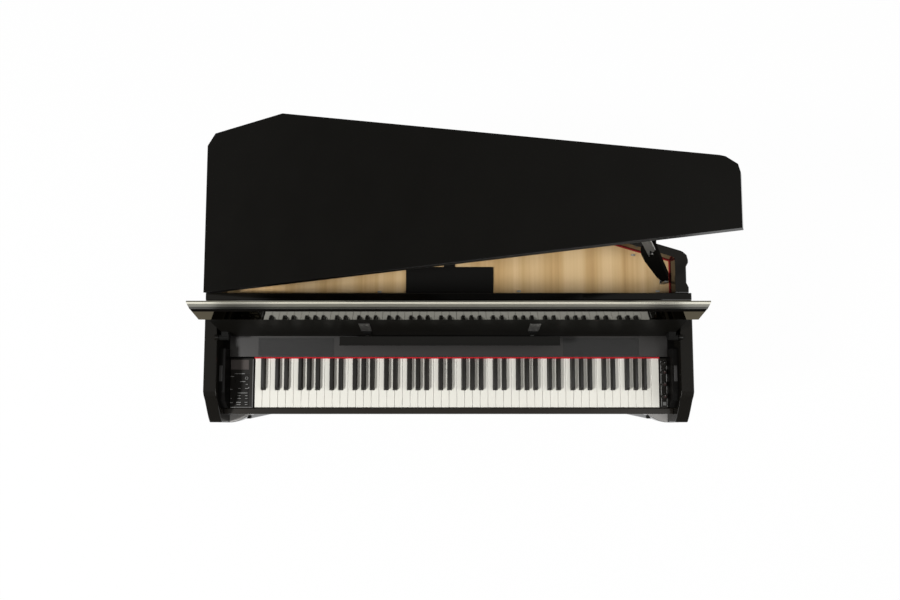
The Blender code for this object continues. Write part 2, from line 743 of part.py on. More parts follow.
def build_panels():
    """Control panels, display, buttons, speaker panel, grilles and the key felt."""
    low = KEYBED_ABOVE[1] + GAP
    top = PANEL_ABOVE
    edge = CHEEK_INNER - GAP
    span = (PANEL_FRONT_BACK, PANEL_END_BACK)
    left = keyed_box((-edge, KEYS_LEFT_X - PANEL_TO_KEYS), span, (low, top))
    as_part(left, "left_control_panel", SATIN_BLACK)
    soften(left, 0.0008, 1)
    half_x = DISPLAY_SIZE[0] / 2
    half_y = DISPLAY_SIZE[1] / 2
    x, y = DISPLAY_CENTRE
    window_x = (x - half_x, x + half_x)
    window_y = (y - half_y, y + half_y)
    pocket_x = (window_x[0] - GAP, window_x[1] + GAP)
    pocket_y = (window_y[0] - GAP, window_y[1] + GAP)
    pocket = keyed_box(pocket_x, pocket_y, (top - DISPLAY_DEPTH - GAP, top + 0.01))
    cut_with(left, pocket, "display_pocket")
    window = keyed_box(window_x, window_y, (top - DISPLAY_DEPTH, top + DISPLAY_RISE))
    as_part(window, "display", SMOKED_GLASS)
    area = keyed_box(BUTTON_AREA_X, BUTTON_AREA_BACK, (top - BUTTON_POCKET, top + 0.01))
    cut_with(left, area, "button_pocket")
    pad_x = (BUTTON_AREA_X[0] + GAP, BUTTON_AREA_X[1] - GAP)
    pad_y = (BUTTON_AREA_BACK[0] + GAP, BUTTON_AREA_BACK[1] - GAP)
    plate_low = top - BUTTON_POCKET + GAP
    pad = keyed_box(pad_x, pad_y, (plate_low, plate_low + BUTTON_PLATE))
    raised = (plate_low + 0.0005, top + BUTTON_RISE)
    for column in BUTTON_COLUMNS:
        for row in BUTTON_ROWS_BACK:
            wide = (column - BUTTON_SIZE[0] / 2, column + BUTTON_SIZE[0] / 2)
            deep = (row - BUTTON_SIZE[1] / 2, row + BUTTON_SIZE[1] / 2)
            combine(pad, keyed_box(wide, deep, raised), "UNION")
    for x, back, radius in (ROUND_BUTTON, CURSOR_BUTTON):
        start = (x, behind_keys(back), above_keys(raised[0]))
        end = (x, behind_keys(back), above_keys(raised[1]))
        combine(pad, rod(start, end, radius, 20), "UNION")
    shade_round(as_part(pad, "button_pad", SOFT_GREY))
    right = keyed_box((KEYS_RIGHT_X + PANEL_TO_KEYS, edge), span, (low, top))
    as_part(right, "right_control_panel", SATIN_BLACK)
    soften(right, 0.0008, 1)
    middle = (KEYS_RIGHT_X + PANEL_TO_KEYS + edge) / 2
    for number, back in enumerate(KNOB_BACKS, 1):
        y = behind_keys(back)
        base = above_keys(top + GAP)
        knob = rod((middle, y, base), (middle, y, base + KNOB_SKIRT), KNOB_RADIUS, 28)
        cap_top = (middle, y, base + KNOB_HEIGHT)
        combine(knob, rod((middle, y, base + 0.001), cap_top, KNOB_RADIUS * 0.82, 28), "UNION")
        stem_low = (middle, y, above_keys(top) - KNOB_STEM)
        combine(knob, rod(stem_low, (middle, y, base + 0.001), KNOB_STEM_RADIUS, 16), "UNION")
        name = "knob_" + str(number)
        as_part(knob, name, SATIN_BLACK)
        shade_round(knob)
        pivot_at(knob, (middle, y, base))
        hole_low = (middle, y, above_keys(top) - KNOB_STEM - GAP)
        hole = rod(hole_low, (middle, y, above_keys(top + 0.01)), KNOB_STEM_RADIUS + PIN_GAP, 16)
        cut_with(right, hole, name + "_hole")
    half = POWER_WIDTH / 2
    switch_low = top - POWER_DEPTH + POWER_TRAVEL + GAP
    switch = keyed_box((middle - half, middle + half), POWER_BACK, (switch_low, top + POWER_RISE))
    as_part(switch, "power_switch", SATIN_BLACK)
    soften(switch, 0.0006, 1)
    well_x = (middle - half - GAP, middle + half + GAP)
    well_y = (POWER_BACK[0] - GAP, POWER_BACK[1] + GAP)
    cut_with(right, keyed_box(well_x, well_y, (top - POWER_DEPTH, top + 0.01)), "switch_well")
    wide = (-CHEEK_INNER + GAP, CHEEK_INNER - GAP)
    deep = (SPEAKER_FRONT_BACK, CROSSBOARD_BACK[0] - GAP)
    speaker = keyed_box(wide, deep, SPEAKER_ABOVE)
    as_part(speaker, "speaker_panel", SATIN_BLACK)
    soften(speaker, 0.0008, 1)
    ledge_top = SPEAKER_ABOVE[1] - GRILLE_THICKNESS - GAP
    for name, side in (("left_grille", -1), ("right_grille", 1)):
        outer = sorted((side * GRILLE_X[0], side * GRILLE_X[1]))
        rebate_x = (outer[0] - GAP, outer[1] + GAP)
        rebate_y = (GRILLE_BACK[0] - GAP, GRILLE_BACK[1] + GAP)
        rebate = keyed_box(rebate_x, rebate_y, (ledge_top, SPEAKER_ABOVE[1] + 0.01))
        cut_with(speaker, rebate, name + "_rebate")
        open_x = (outer[0] + GRILLE_LEDGE, outer[1] - GRILLE_LEDGE)
        open_y = (GRILLE_BACK[0] + GRILLE_LEDGE, GRILLE_BACK[1] - GRILLE_LEDGE)
        opening = keyed_box(open_x, open_y, (SPEAKER_ABOVE[0] - 0.01, ledge_top + 0.001))
        cut_with(speaker, opening, name + "_opening")
        plate_z = (ledge_top + GAP, SPEAKER_ABOVE[1])
        grille = keyed_box(outer, GRILLE_BACK, plate_z)
        pitch = (open_x[1] - open_x[0]) / GRILLE_SLOTS
        slots = []
        for slot in range(GRILLE_SLOTS):
            start = open_x[0] + (slot + 0.5) * pitch - GRILLE_SLOT_WIDTH / 2
            slots.append(keyed_box((start, start + GRILLE_SLOT_WIDTH), open_y, (0.0, 0.03)))
        combine(grille, merged(slots), "DIFFERENCE")
        as_part(grille, name, SATIN_BLACK)
    felt_x = (KEYS_LEFT_X, KEYS_RIGHT_X)
    felt = keyed_box(felt_x, KEY_FELT_BACK, KEY_FELT_ABOVE)
    as_part(felt, "key_felt", RED_FELT)


def leaf_frame():
    """Fold point and directions of the open fallboard, as (back, above) pairs."""
    lean = FALL_UPPER_LEAN
    up = (math.sin(lean), math.cos(lean))
    behind = (math.cos(lean), -math.sin(lean))
    fold = (
        FALL_AXIS_BACK + FALL_AXIS_TO_FOLD * up[0] + GAP * behind[0],
        FALL_AXIS_ABOVE + FALL_AXIS_TO_FOLD * up[1] + GAP * behind[1],
    )
    return fold, up, behind


def shifted(point, direction, distance):
    """A point moved along a direction."""
    return (point[0] + direction[0] * distance, point[1] + direction[1] * distance)


def build_fallboard():
    """Fallboard in two boards, its metal lip, its pivots and the music shelf."""
    fold, up, behind = leaf_frame()
    lean = FALL_LOWER_LEAN
    low_up = (math.sin(lean), math.cos(lean))
    low_behind = (math.cos(lean), -math.sin(lean))
    foot = shifted(fold, low_up, -FALL_LOWER_LENGTH)
    crest = shifted(fold, up, FALL_UPPER_LENGTH)
    thick = FALL_THICKNESS
    back_fold = line_crossing(
        (shifted(fold, low_behind, thick), low_up), (shifted(fold, behind, thick), up),
    )
    lower = [foot, shifted(foot, low_behind, thick), back_fold, fold]
    upper = [fold, back_fold, shifted(crest, behind, thick), crest]
    panel = side_plate("fallboard", yz(lower), -FALL_LOWER_HALF, FALL_LOWER_HALF)
    overlap = [shifted(point, low_up, -0.0005) for point in upper[:2]] + upper[2:]
    combine(panel, side_plate("upper", yz(overlap), -FALL_UPPER_HALF, FALL_UPPER_HALF), "UNION")
    axis = (0.0, behind_keys(FALL_AXIS_BACK), above_keys(FALL_AXIS_ABOVE))
    as_part(panel, "fallboard", GLOSS_BLACK)
    soften(panel, 0.0015)
    pivot_at(panel, axis)
    lip_foot = shifted(crest, up, GAP)
    lip_top = shifted(crest, up, FALL_LIP_LENGTH)
    nose = shifted(lip_top, behind, FALL_LIP_NOSE)
    lip_side = [lip_foot, shifted(lip_foot, behind, thick), nose, lip_top]
    lip = side_plate("lip", yz(lip_side), -FALL_LIP_HALF, FALL_LIP_HALF)
    height = above_keys((lip_foot[1] + lip_top[1]) / 2)
    for vertex in lip.data.vertices:
        if vertex.co.z > height:
            vertex.co.x -= math.copysign(FALL_LIP_TAPER, vertex.co.x)
    for share in (0.30, 0.72):
        place = shifted(lip_foot, up, FALL_LIP_LENGTH * share)
        place = shifted(place, behind, -0.0002)
        line = (behind_keys(place[0]), above_keys(place[1]))
        combine(lip, rod((-0.8, *line), (0.8, *line), 0.0011, 8), "DIFFERENCE")
    as_part(lip, "fallboard_lip", BRIGHT_METAL)
    soften(lip, 0.0012)
    pivot_at(lip, axis)
    for name, side in (("left_fallboard_pivot", -1), ("right_fallboard_pivot", 1)):
        block_x = sorted((side * FALL_PIN_X[0], side * FALL_PIN_X[1]))
        spot = (FALL_AXIS_BACK, FALL_AXIS_ABOVE)
        block = rod((block_x[0], *axis[1:]), (block_x[1], *axis[1:]), FALL_BLOCK_RADIUS, 24)
        reach = line_crossing((spot, low_behind), (shifted(foot, low_behind, -GAP), low_up))
        arm_side = [
            shifted(spot, low_up, -FALL_BLOCK_RADIUS), shifted(reach, low_up, -0.016),
            shifted(reach, low_up, 0.016), shifted(spot, low_up, FALL_BLOCK_RADIUS),
        ]
        bracket_x = sorted((side * FALL_PIN_X[0], side * (FALL_LOWER_HALF - 0.001)))
        combine(block, side_plate("bracket", yz(arm_side), *bracket_x), "UNION")
        pin_end = side * (ARM_INNER - 3 * GAP)
        pin_start = side * (FALL_PIN_X[0] + 0.002)
        combine(block, rod((pin_start, *axis[1:]), (pin_end, *axis[1:]), FALL_PIN_RADIUS), "UNION")
        as_part(block, name, BRIGHT_METAL)
        shade_round(block)
        pivot_at(block, axis)
    build_music_shelf(foot, low_up, low_behind)


def build_music_shelf(foot, low_up, low_behind):
    """The ledge for sheet music and its two hinge plates on the fallboard."""
    axis_spot = shifted(shifted(foot, low_up, SHELF_UP_LEAF), low_behind, -SHELF_AXIS_OUT)
    axis = (0.0, behind_keys(axis_spot[0]), above_keys(axis_spot[1]))
    forward = (-1.0, 0.0)
    upward = (0.0, 1.0)
    back_end = shifted(axis_spot, forward, SHELF_BARREL_RADIUS + 2 * GAP)
    tip = shifted(axis_spot, forward, SHELF_DEPTH)
    inset = WEB_INSET
    shelf_side = [
        back_end, shifted(back_end, upward, -SHELF_THICKNESS), shifted(tip, upward, -SHELF_THICKNESS),
        shifted(tip, upward, SHELF_LIP), shifted(shifted(tip, forward, -0.004), upward, SHELF_LIP),
        shifted(tip, forward, -0.004),
    ]
    shelf = side_plate("shelf", yz(shelf_side), *SHELF_X)
    barrel_half = SHELF_HINGE_WIDTH / 2
    third = SHELF_HINGE_WIDTH / 6
    for centre in SHELF_HINGES:
        knuckle = rod((centre - third, *axis[1:]), (centre + third, *axis[1:]), SHELF_BARREL_RADIUS, 16)
        arm_low = -SHELF_BARREL_RADIUS + inset
        arm_side = [
            shifted(axis_spot, upward, -inset), shifted(axis_spot, upward, arm_low),
            shifted(shifted(back_end, forward, 0.003), upward, arm_low),
            shifted(shifted(back_end, forward, 0.003), upward, -inset),
        ]
        web = side_plate("arm", yz(arm_side), centre - third + inset, centre + third - inset)
        combine(knuckle, web, "UNION")
        combine(shelf, knuckle, "UNION")
        hole_ends = ((centre - 2 * third, *axis[1:]), (centre + 2 * third, *axis[1:]))
        hole = rod(*hole_ends, SHELF_PIN_RADIUS + PIN_GAP / 2, 12)
        combine(shelf, hole, "DIFFERENCE")
    as_part(shelf, "music_shelf", GLOSS_BLACK)
    soften(shelf, 0.0006, 1)
    pivot_at(shelf, axis)
    face = shifted(foot, low_behind, -GAP)
    plate_low = shifted(face, low_up, SHELF_UP_LEAF - 0.012)
    plate_high = shifted(face, low_up, SHELF_HINGE_TOP)
    out = SHELF_HINGE_THICKNESS
    plate_side = [
        plate_low, plate_high, shifted(plate_high, low_behind, -out), shifted(plate_low, low_behind, -out),
    ]
    for name, centre in zip(("left_shelf_hinge", "right_shelf_hinge"), SHELF_HINGES):
        ends = (centre - barrel_half, centre + barrel_half)
        plate = side_plate(name, yz(plate_side), *ends)
        outer = (ends[0] + inset, ends[1] - inset)
        for low, high in ((outer[0], centre - third - GAP), (centre + third + GAP, outer[1])):
            knuckle = rod((low, *axis[1:]), (high, *axis[1:]), SHELF_BARREL_RADIUS, 16)
            web_side = [
                shifted(axis_spot, low_up, -0.002), shifted(axis_spot, low_up, 0.002),
                shifted(shifted(axis_spot, low_up, 0.002), low_behind, SHELF_AXIS_OUT - GAP - out / 2),
                shifted(shifted(axis_spot, low_up, -0.002), low_behind, SHELF_AXIS_OUT - GAP - out / 2),
            ]
            combine(knuckle, side_plate("web", yz(web_side), low + inset, high - inset), "UNION")
            combine(plate, knuckle, "UNION")
        pin = rod((ends[0] + 0.002, *axis[1:]), (ends[1] - 0.002, *axis[1:]), SHELF_PIN_RADIUS, 12)
        combine(plate, pin, "UNION")
        as_part(plate, name, BRIGHT_METAL)
        shade_round(plate)


def build_lid():
    """The lid, open on its stay, and its long hinge."""
    low = ARM_TOP_Z + GAP
    lid = plan_plate("lid", lid_outline(), low, low + LID_THICKNESS)
    axis = Vector((LID_AXIS_X, 0.0, LID_AXIS_Z))
    ends = (behind_keys(LID_HINGE_BACK[0] - 0.001), behind_keys(LID_HINGE_BACK[1] + 0.001))
    barrel_edge = LID_AXIS_X + LID_BARREL_RADIUS + 2 * GAP
    barrel_high = LID_AXIS_Z + LID_BARREL_RADIUS + 2 * GAP
    groove = box((LID_AXIS_X - 0.02, ends[0], low - 0.01), (barrel_edge, ends[1], barrel_high))
    combine(lid, groove, "DIFFERENCE")
    leaf_edge = LID_AXIS_X + LID_BARREL_RADIUS + LID_LEAF_WIDTH + GAP
    leaf_high = low + LID_LEAF_THICKNESS + GAP
    recess = box((barrel_edge - 0.001, ends[0], low - 0.01), (leaf_edge, ends[1], leaf_high))
    combine(lid, recess, "DIFFERENCE")
    turn_about(lid, axis, "Y", -LID_OPEN)
    as_part(lid, "lid", GLOSS_BLACK)
    soften(lid, LID_EDGE)
    pivot_at(lid, axis)
    length = (LID_HINGE_BACK[1] - LID_HINGE_BACK[0]) / LID_KNUCKLES
    leaf_start = LID_AXIS_X + LID_BARREL_RADIUS + 3 * GAP
    leaf_end = leaf_edge - GAP
    for name, own in (("lid_hinge_body_leaf", 0), ("lid_hinge_lid_leaf", 1)):
        first = behind_keys(LID_HINGE_BACK[0])
        last = behind_keys(LID_HINGE_BACK[1])
        if own:
            z_range = (low, low + LID_LEAF_THICKNESS)
        else:
            z_range = (ARM_TOP_Z - LID_LEAF_THICKNESS, ARM_TOP_Z)
        spans = []
        for knuckle in range(own, LID_KNUCKLES, 2):
            spans.append((first + knuckle * length + GAP, first + (knuckle + 1) * length - GAP))
        web_x = axis.x + LID_PIN_RADIUS + 2 * GAP
        outline = [(leaf_end, last), (leaf_end, first)]
        if own:
            outline.append((leaf_start, first))
        for start, end in spans:
            outline += [(leaf_start, start + WEB_INSET), (web_x, start + WEB_INSET)]
            outline += [(web_x, end - WEB_INSET), (leaf_start, end - WEB_INSET)]
        outline.append((leaf_start, last))
        leaf = plan_plate(name, list(reversed(outline)), *z_range)
        barrels = []
        for start, end in spans:
            barrels.append(rod((axis.x, start, axis.z), (axis.x, end, axis.z), LID_BARREL_RADIUS, 16))
        combine(leaf, merged(barrels), "UNION")
        if own:
            bore = LID_PIN_RADIUS + PIN_GAP / 2
            run = ((axis.x, first - 0.001, axis.z), (axis.x, last + 0.001, axis.z))
            combine(leaf, rod(*run, bore, 12), "DIFFERENCE")
            turn_about(leaf, axis, "Y", -LID_OPEN)
        else:
            run = ((axis.x, first + 0.002, axis.z), (axis.x, last - 0.002, axis.z))
            combine(leaf, rod(*run, LID_PIN_RADIUS, 12), "UNION")
        as_part(leaf, name, BRASS)
        shade_round(leaf)
        if own:
            pivot_at(leaf, axis)


def stay_points():
    """Foot, elbow and lid pivots of the open stay as (X, Z).

    With the lid closed both links lie level, so the foot pivot and the lid pivot share a height.
    """
    foot = (STAY_FOOT_X, STAY_PIVOT_Z)
    along = STAY_LID_ALONG
    drop = LID_PIVOT_DROP
    cos, sin = math.cos(LID_OPEN), math.sin(LID_OPEN)
    lid_pivot = (LID_AXIS_X + along * cos + drop * sin, LID_AXIS_Z + along * sin - drop * cos)
    closed = (LID_AXIS_X + along, STAY_PIVOT_Z)
    total = math.dist(foot, lid_pivot)
    apart = foot[0] - closed[0]
    lower = (total + apart) / 2
    share = lower / total
    elbow = (foot[0] + (lid_pivot[0] - foot[0]) * share, foot[1] + (lid_pivot[1] - foot[1]) * share)
    return foot, elbow, lid_pivot


def stay_bore(spot, y_range):
    """Cutter for a pin hole through a link at an (X, Z) spot."""
    start = (spot[0], y_range[0] - 0.01, spot[1])
    end = (spot[0], y_range[1] + 0.01, spot[1])
    return rod(start, end, STAY_PIN_RADIUS + PIN_GAP, 20)


def stay_pin(spot, y_low, y_high):
    """A link's pin at an (X, Z) spot between two Y places."""
    return rod((spot[0], y_low, spot[1]), (spot[0], y_high, spot[1]), STAY_PIN_RADIUS, 20)


def build_stay():
    """Two links in line that hold the lid up, with a bracket at each end."""
    foot, elbow, lid_pivot = stay_points()
    lower_y = tuple(behind_keys(back) for back in STAY_LOWER_BACK)
    upper_y = tuple(behind_keys(back) for back in STAY_UPPER_BACK)
    lower = front_plate("stay_lower", link_outline(foot, elbow, STAY_LOWER_HALF), *lower_y)
    as_part(lower, "stay_lower_link", GLOSS_BLACK)
    soften(lower, 0.001, 1)
    cut_with(lower, stay_bore(foot, lower_y), "foot_hole")
    cut_with(lower, stay_bore(elbow, lower_y), "elbow_hole")
    pivot_at(lower, (foot[0], sum(lower_y) / 2, foot[1]))
    upper = front_plate("stay_upper", link_outline(lid_pivot, elbow, STAY_UPPER_HALF), *upper_y)
    combine(upper, stay_pin(elbow, lower_y[0] + 0.001, upper_y[1] - 0.001), "UNION")
    as_part(upper, "stay_upper_link", GLOSS_BLACK)
    shade_round(upper)
    cut_with(upper, stay_bore(lid_pivot, upper_y), "lid_end_hole")
    pivot_at(upper, (lid_pivot[0], sum(upper_y) / 2, lid_pivot[1]))
    heading = math.atan2(elbow[1] - foot[1], elbow[0] - foot[0])
    along = (math.cos(heading), math.sin(heading))
    side = (math.sin(heading), -math.cos(heading))
    near = shifted(shifted(elbow, along, -0.012 - ELBOW_PLATE_LENGTH), side, STAY_LOWER_HALF + GAP)
    far = shifted(near, along, ELBOW_PLATE_LENGTH)
    out = ELBOW_PLATE_THICKNESS
    plate_points = [near, shifted(near, side, out), shifted(far, side, out), far]
    plate = front_plate("elbow_plate", plate_points, lower_y[0] + 0.0005, lower_y[1] - 0.0005)
    as_part(plate, "elbow_plate", BRIGHT_METAL)
    pivot_at(plate, (foot[0], sum(lower_y) / 2, foot[1]))
    base_low = above_keys(SOUNDBOARD_ABOVE) + GAP
    ear_y = (lower_y[0] - STAY_SIDE_GAP - STAY_EAR, lower_y[0] - STAY_SIDE_GAP)
    bracket = box((foot[0] - 0.014, ear_y[0], base_low), (foot[0] + 0.014, lower_y[1], base_low + STAY_BASE))
    ear = link_outline((foot[0], base_low + 0.008), foot, 0.008)
    combine(bracket, front_plate("ear", ear, *ear_y), "UNION")
    combine(bracket, stay_pin(foot, ear_y[0] + 0.001, lower_y[1] - 0.001), "UNION")
    as_part(bracket, "stay_foot_bracket", BRIGHT_METAL)
    shade_round(bracket)
    top = ARM_TOP_Z
    closed = (LID_AXIS_X + STAY_LID_ALONG, STAY_PIVOT_Z)
    ear_y = (upper_y[1] + STAY_SIDE_GAP, upper_y[1] + STAY_SIDE_GAP + STAY_EAR)
    holder = box((closed[0] - 0.014, upper_y[0], top - STAY_BASE), (closed[0] + 0.014, ear_y[1], top))
    ear = link_outline((closed[0], top - 0.008), closed, 0.007)
    combine(holder, front_plate("ear", ear, *ear_y), "UNION")
    combine(holder, stay_pin(closed, upper_y[0] + 0.001, ear_y[1] - 0.001), "UNION")
    turn_about(holder, (LID_AXIS_X, 0.0, LID_AXIS_Z), "Y", -LID_OPEN)
    as_part(holder, "stay_lid_bracket", BRIGHT_METAL)
    shade_round(holder)
    pivot_at(holder, (LID_AXIS_X, 0.0, LID_AXIS_Z))


def tapered_leg(centre, z_top, height):
    """A square shaft that narrows towards the floor, with a round foot."""
    depth = height - FOOT_HEIGHT + 0.002
    bpy.ops.mesh.primitive_cone_add(
        vertices=4, radius1=LEG_FOOT / math.sqrt(2), radius2=LEG_TOP / math.sqrt(2), depth=depth,
    )
    shaft = bpy.context.active_object
    shaft.data.transform(Matrix.Rotation(math.radians(45.0), 4, "Z"))
    shaft.location = (centre[0], centre[1], z_top - depth / 2)
    soften(shaft, LEG_EDGE)
    foot = rod((centre[0], centre[1], 0.0), (centre[0], centre[1], FOOT_HEIGHT), FOOT_RADIUS, 28)
    return combine(shaft, foot, "UNION")


def build_legs():
    """Two front legs with head blocks under the arms, and one leg under the tail."""
    head_top = above_keys(ARM_HIGH_BOTTOM_ABOVE) - GAP
    head_low = above_keys(CASE_BOTTOM_ABOVE)
    for name, side in (("left_front_leg", -1), ("right_front_leg", 1)):
        ends = sorted((side * LEG_HEAD_INNER, side * BODY_HALF))
        middle = sum(ends) / 2
        front = FRONT_EDGE_BACK
        sweep = []
        for step in range(LEG_HEAD_STEPS + 1):
            share = step / LEG_HEAD_STEPS
            away = ARM_THICKNESS + (BODY_HALF - LEG_HEAD_INNER - ARM_THICKNESS) * share
            recess = LEG_HEAD_SWEEP * (1 - math.cos(share * math.pi / 2))
            sweep.append((side * (BODY_HALF - away), behind_keys(front + recess)))
        sweep.insert(0, (side * BODY_HALF, behind_keys(front)))
        if side > 0:
            sweep.reverse()
        outline = sweep + [(ends[1], behind_keys(LEG_HEAD_BACK)), (ends[0], behind_keys(LEG_HEAD_BACK))]
        head = plan_plate(name, outline, head_low, head_top)
        centre = (middle, behind_keys((front + LEG_HEAD_BACK) / 2))
        shaft = tapered_leg(centre, head_low + LEG_SINK, head_low + LEG_SINK)
        soften(head, CASE_EDGE)
        combine(head, shaft, "UNION")
        shade_round(as_part(head, name, GLOSS_BLACK))
    x, back = TAIL_LEG
    plate_top = head_low - GAP
    plate_low = plate_top - TAIL_PLATE_THICKNESS
    half = TAIL_PLATE / 2
    y = behind_keys(back)
    plate = box((x - half, y - half, plate_low), (x + half, y + half, plate_top))
    soften(plate, CASE_EDGE)
    combine(plate, tapered_leg((x, y), plate_low + LEG_SINK, plate_low + LEG_SINK), "UNION")
    shade_round(as_part(plate, "tail_leg", GLOSS_BLACK))


def build_pedals():
    """Lyre, pedal box, three sprung pedals and the brace behind them."""
    middle = behind_keys(LYRE_BACK)
    box_top = PEDAL_BOX_Z + PEDAL_BOX[2]
    lyre_top = above_keys(KEYBED_ABOVE[0]) - GAP
    half = LYRE_POST_DEPTH / 2
    lyre = box(
        (-LYRE_TOP[0] / 2, middle - LYRE_TOP[1] / 2, lyre_top - LYRE_TOP[2]),
        (LYRE_TOP[0] / 2, middle + LYRE_TOP[1] / 2, lyre_top),
    )
    for side in (-1, 1):
        ends = sorted((side * LYRE_POST_X[0], side * LYRE_POST_X[1]))
        low = (ends[0], middle - half, box_top + GAP)
        high = (ends[1], middle + half, lyre_top - LYRE_TOP[2] + 0.002)
        combine(lyre, box(low, high), "UNION")
    for share in (0.30, 0.62):
        z = box_top + (lyre_top - box_top) * share
        inner = LYRE_POST_X[0] + 0.002
        bar = box((-inner, middle - half * 0.6, z), (inner, middle + half * 0.6, z + LYRE_BAR))
        combine(lyre, bar, "UNION")
    soften(as_part(lyre, "pedal_lyre", GLOSS_BLACK), CASE_EDGE)
    front = middle - PEDAL_BOX[1] / 2
    back = middle + PEDAL_BOX[1] / 2
    casing = box((-PEDAL_BOX[0] / 2, front, PEDAL_BOX_Z), (PEDAL_BOX[0] / 2, back, box_top))
    pivot_y = front + PEDAL_PIVOT_IN
    pivot_z = PEDAL_BOX_Z + PEDAL_BOX[2] / 2
    drop = PEDAL_PIVOT_IN * math.tan(PEDAL_DIP)
    tail_rise = (PEDAL_TAIL + PEDAL_PLAY) * math.tan(PEDAL_DIP)
    slot_end = pivot_y + PEDAL_TAIL + PEDAL_PLAY
    for number in (-1, 0, 1):
        x = number * PEDAL_PITCH
        wide = PEDAL_WIDTH / 2 + PEDAL_PLAY
        low = (x - wide, front - 0.01, pivot_z - PEDAL_THICKNESS / 2 - drop - PEDAL_PLAY)
        high = (x + wide, slot_end, pivot_z + PEDAL_THICKNESS / 2 + tail_rise + PEDAL_PLAY)
        combine(casing, box(low, high), "DIFFERENCE")
    reach = PEDAL_PITCH + PEDAL_WIDTH
    soften(casing, CASE_EDGE)
    combine(casing, rod((-reach, pivot_y, pivot_z), (reach, pivot_y, pivot_z), PEDAL_PIN_RADIUS, 16), "UNION")
    as_part(casing, "pedal_box", GLOSS_BLACK)
    for number, name in enumerate(("soft_pedal", "sostenuto_pedal", "damper_pedal"), -1):
        x = number * PEDAL_PITCH
        tip_y = front - PEDAL_REACH
        radius = PEDAL_WIDTH / 2
        outline = [(x + radius, pivot_y + PEDAL_TAIL), (x - radius, pivot_y + PEDAL_TAIL)]
        for step in range(13):
            turn = math.pi + math.pi * step / 12
            outline.append((x + radius * math.cos(turn), tip_y + radius + radius * math.sin(turn)))
        low = pivot_z - PEDAL_THICKNESS / 2
        pedal = plan_plate(name, outline, low, low + PEDAL_THICKNESS)
        as_part(pedal, name, BRASS)
        soften(pedal, 0.0015)
        shade_round(pedal)
        pin_low = (x - PEDAL_WIDTH, pivot_y, pivot_z)
        pin_high = (x + PEDAL_WIDTH, pivot_y, pivot_z)
        cut_with(pedal, rod(pin_low, pin_high, PEDAL_PIN_RADIUS + PIN_GAP, 16), name + "_hole")
        pivot_at(pedal, (x, pivot_y, pivot_z))
    brace_y = behind_keys(BRACE_BACK)
    pad_x, pad_y, pad_z = BRACE_PAD
    top = above_keys(KEYBED_ABOVE[0]) - GAP
    brace = box((-pad_x / 2, brace_y - pad_y / 2, top - pad_z), (pad_x / 2, brace_y + pad_y / 2, top))
    low_y = back + GAP
    heel = box((-pad_x / 2, low_y, pivot_z - 0.012), (pad_x / 2, low_y + 0.010, pivot_z + 0.012))
    combine(brace, heel, "UNION")
    strut = rod((0.0, low_y + 0.006, pivot_z), (0.0, brace_y, top - pad_z / 2), BRACE_RADIUS, 16)
    combine(brace, strut, "UNION")
    shade_round(as_part(brace, "lyre_brace", BRASS))


build_case()
build_keyboard()
build_panels()
build_fallboard()
build_lid()
build_stay()
build_legs()
build_pedals()
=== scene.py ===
"""Dressed scene of the digital grand piano: finishes, keys, controls, light and camera.

The CAD frame keeps every solid in its place. This script gives each solid a finish, puts
finer pieces over the plain ones, and sets up a plain studio with the camera above the keys.
All sizes are in metres and all angles in degrees.
"""
from __future__ import annotations

import logging
import math
from dataclasses import dataclass, field
from enum import Enum
from typing import Any, Callable, Optional, Sequence, Union

import bmesh
import bpy
from mathutils import Matrix, Vector


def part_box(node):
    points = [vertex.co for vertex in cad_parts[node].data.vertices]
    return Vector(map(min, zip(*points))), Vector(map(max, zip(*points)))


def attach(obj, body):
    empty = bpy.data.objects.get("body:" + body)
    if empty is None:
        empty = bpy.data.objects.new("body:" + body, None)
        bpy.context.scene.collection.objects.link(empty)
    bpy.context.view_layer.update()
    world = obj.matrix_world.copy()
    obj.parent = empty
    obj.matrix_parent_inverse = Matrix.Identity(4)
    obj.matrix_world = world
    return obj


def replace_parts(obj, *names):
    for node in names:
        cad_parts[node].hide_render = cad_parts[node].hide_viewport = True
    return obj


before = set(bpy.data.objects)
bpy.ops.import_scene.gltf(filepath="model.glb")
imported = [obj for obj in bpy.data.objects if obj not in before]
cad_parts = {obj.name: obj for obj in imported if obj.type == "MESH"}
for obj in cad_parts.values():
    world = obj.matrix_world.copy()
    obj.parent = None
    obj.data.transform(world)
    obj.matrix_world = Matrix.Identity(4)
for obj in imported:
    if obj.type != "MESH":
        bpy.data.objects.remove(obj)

LOG = logging.getLogger("piano")
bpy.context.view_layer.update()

# Place of the front edge of the keys, and how deep a printed line sits in its surface.
KEY_FRONT = -0.3795
SINK = 0.0002

# Rounded edge of the smallest fittings, and the angles that count as an edge.
FINE_EDGE = 0.0002
BEVEL_ANGLE = 40.0
SHARP_ANGLE = 35.0

Point2 = tuple[float, float]
Point3 = tuple[float, float, float]
Colour = tuple[float, float, float]
WHITE: Colour = (1.0, 1.0, 1.0)


def scaled(colour: Colour, factor: float, lift: float = 0.0) -> Colour:
    """A colour with each channel multiplied and lifted."""
    red, green, blue = (value * factor + lift for value in colour)
    return red, green, blue


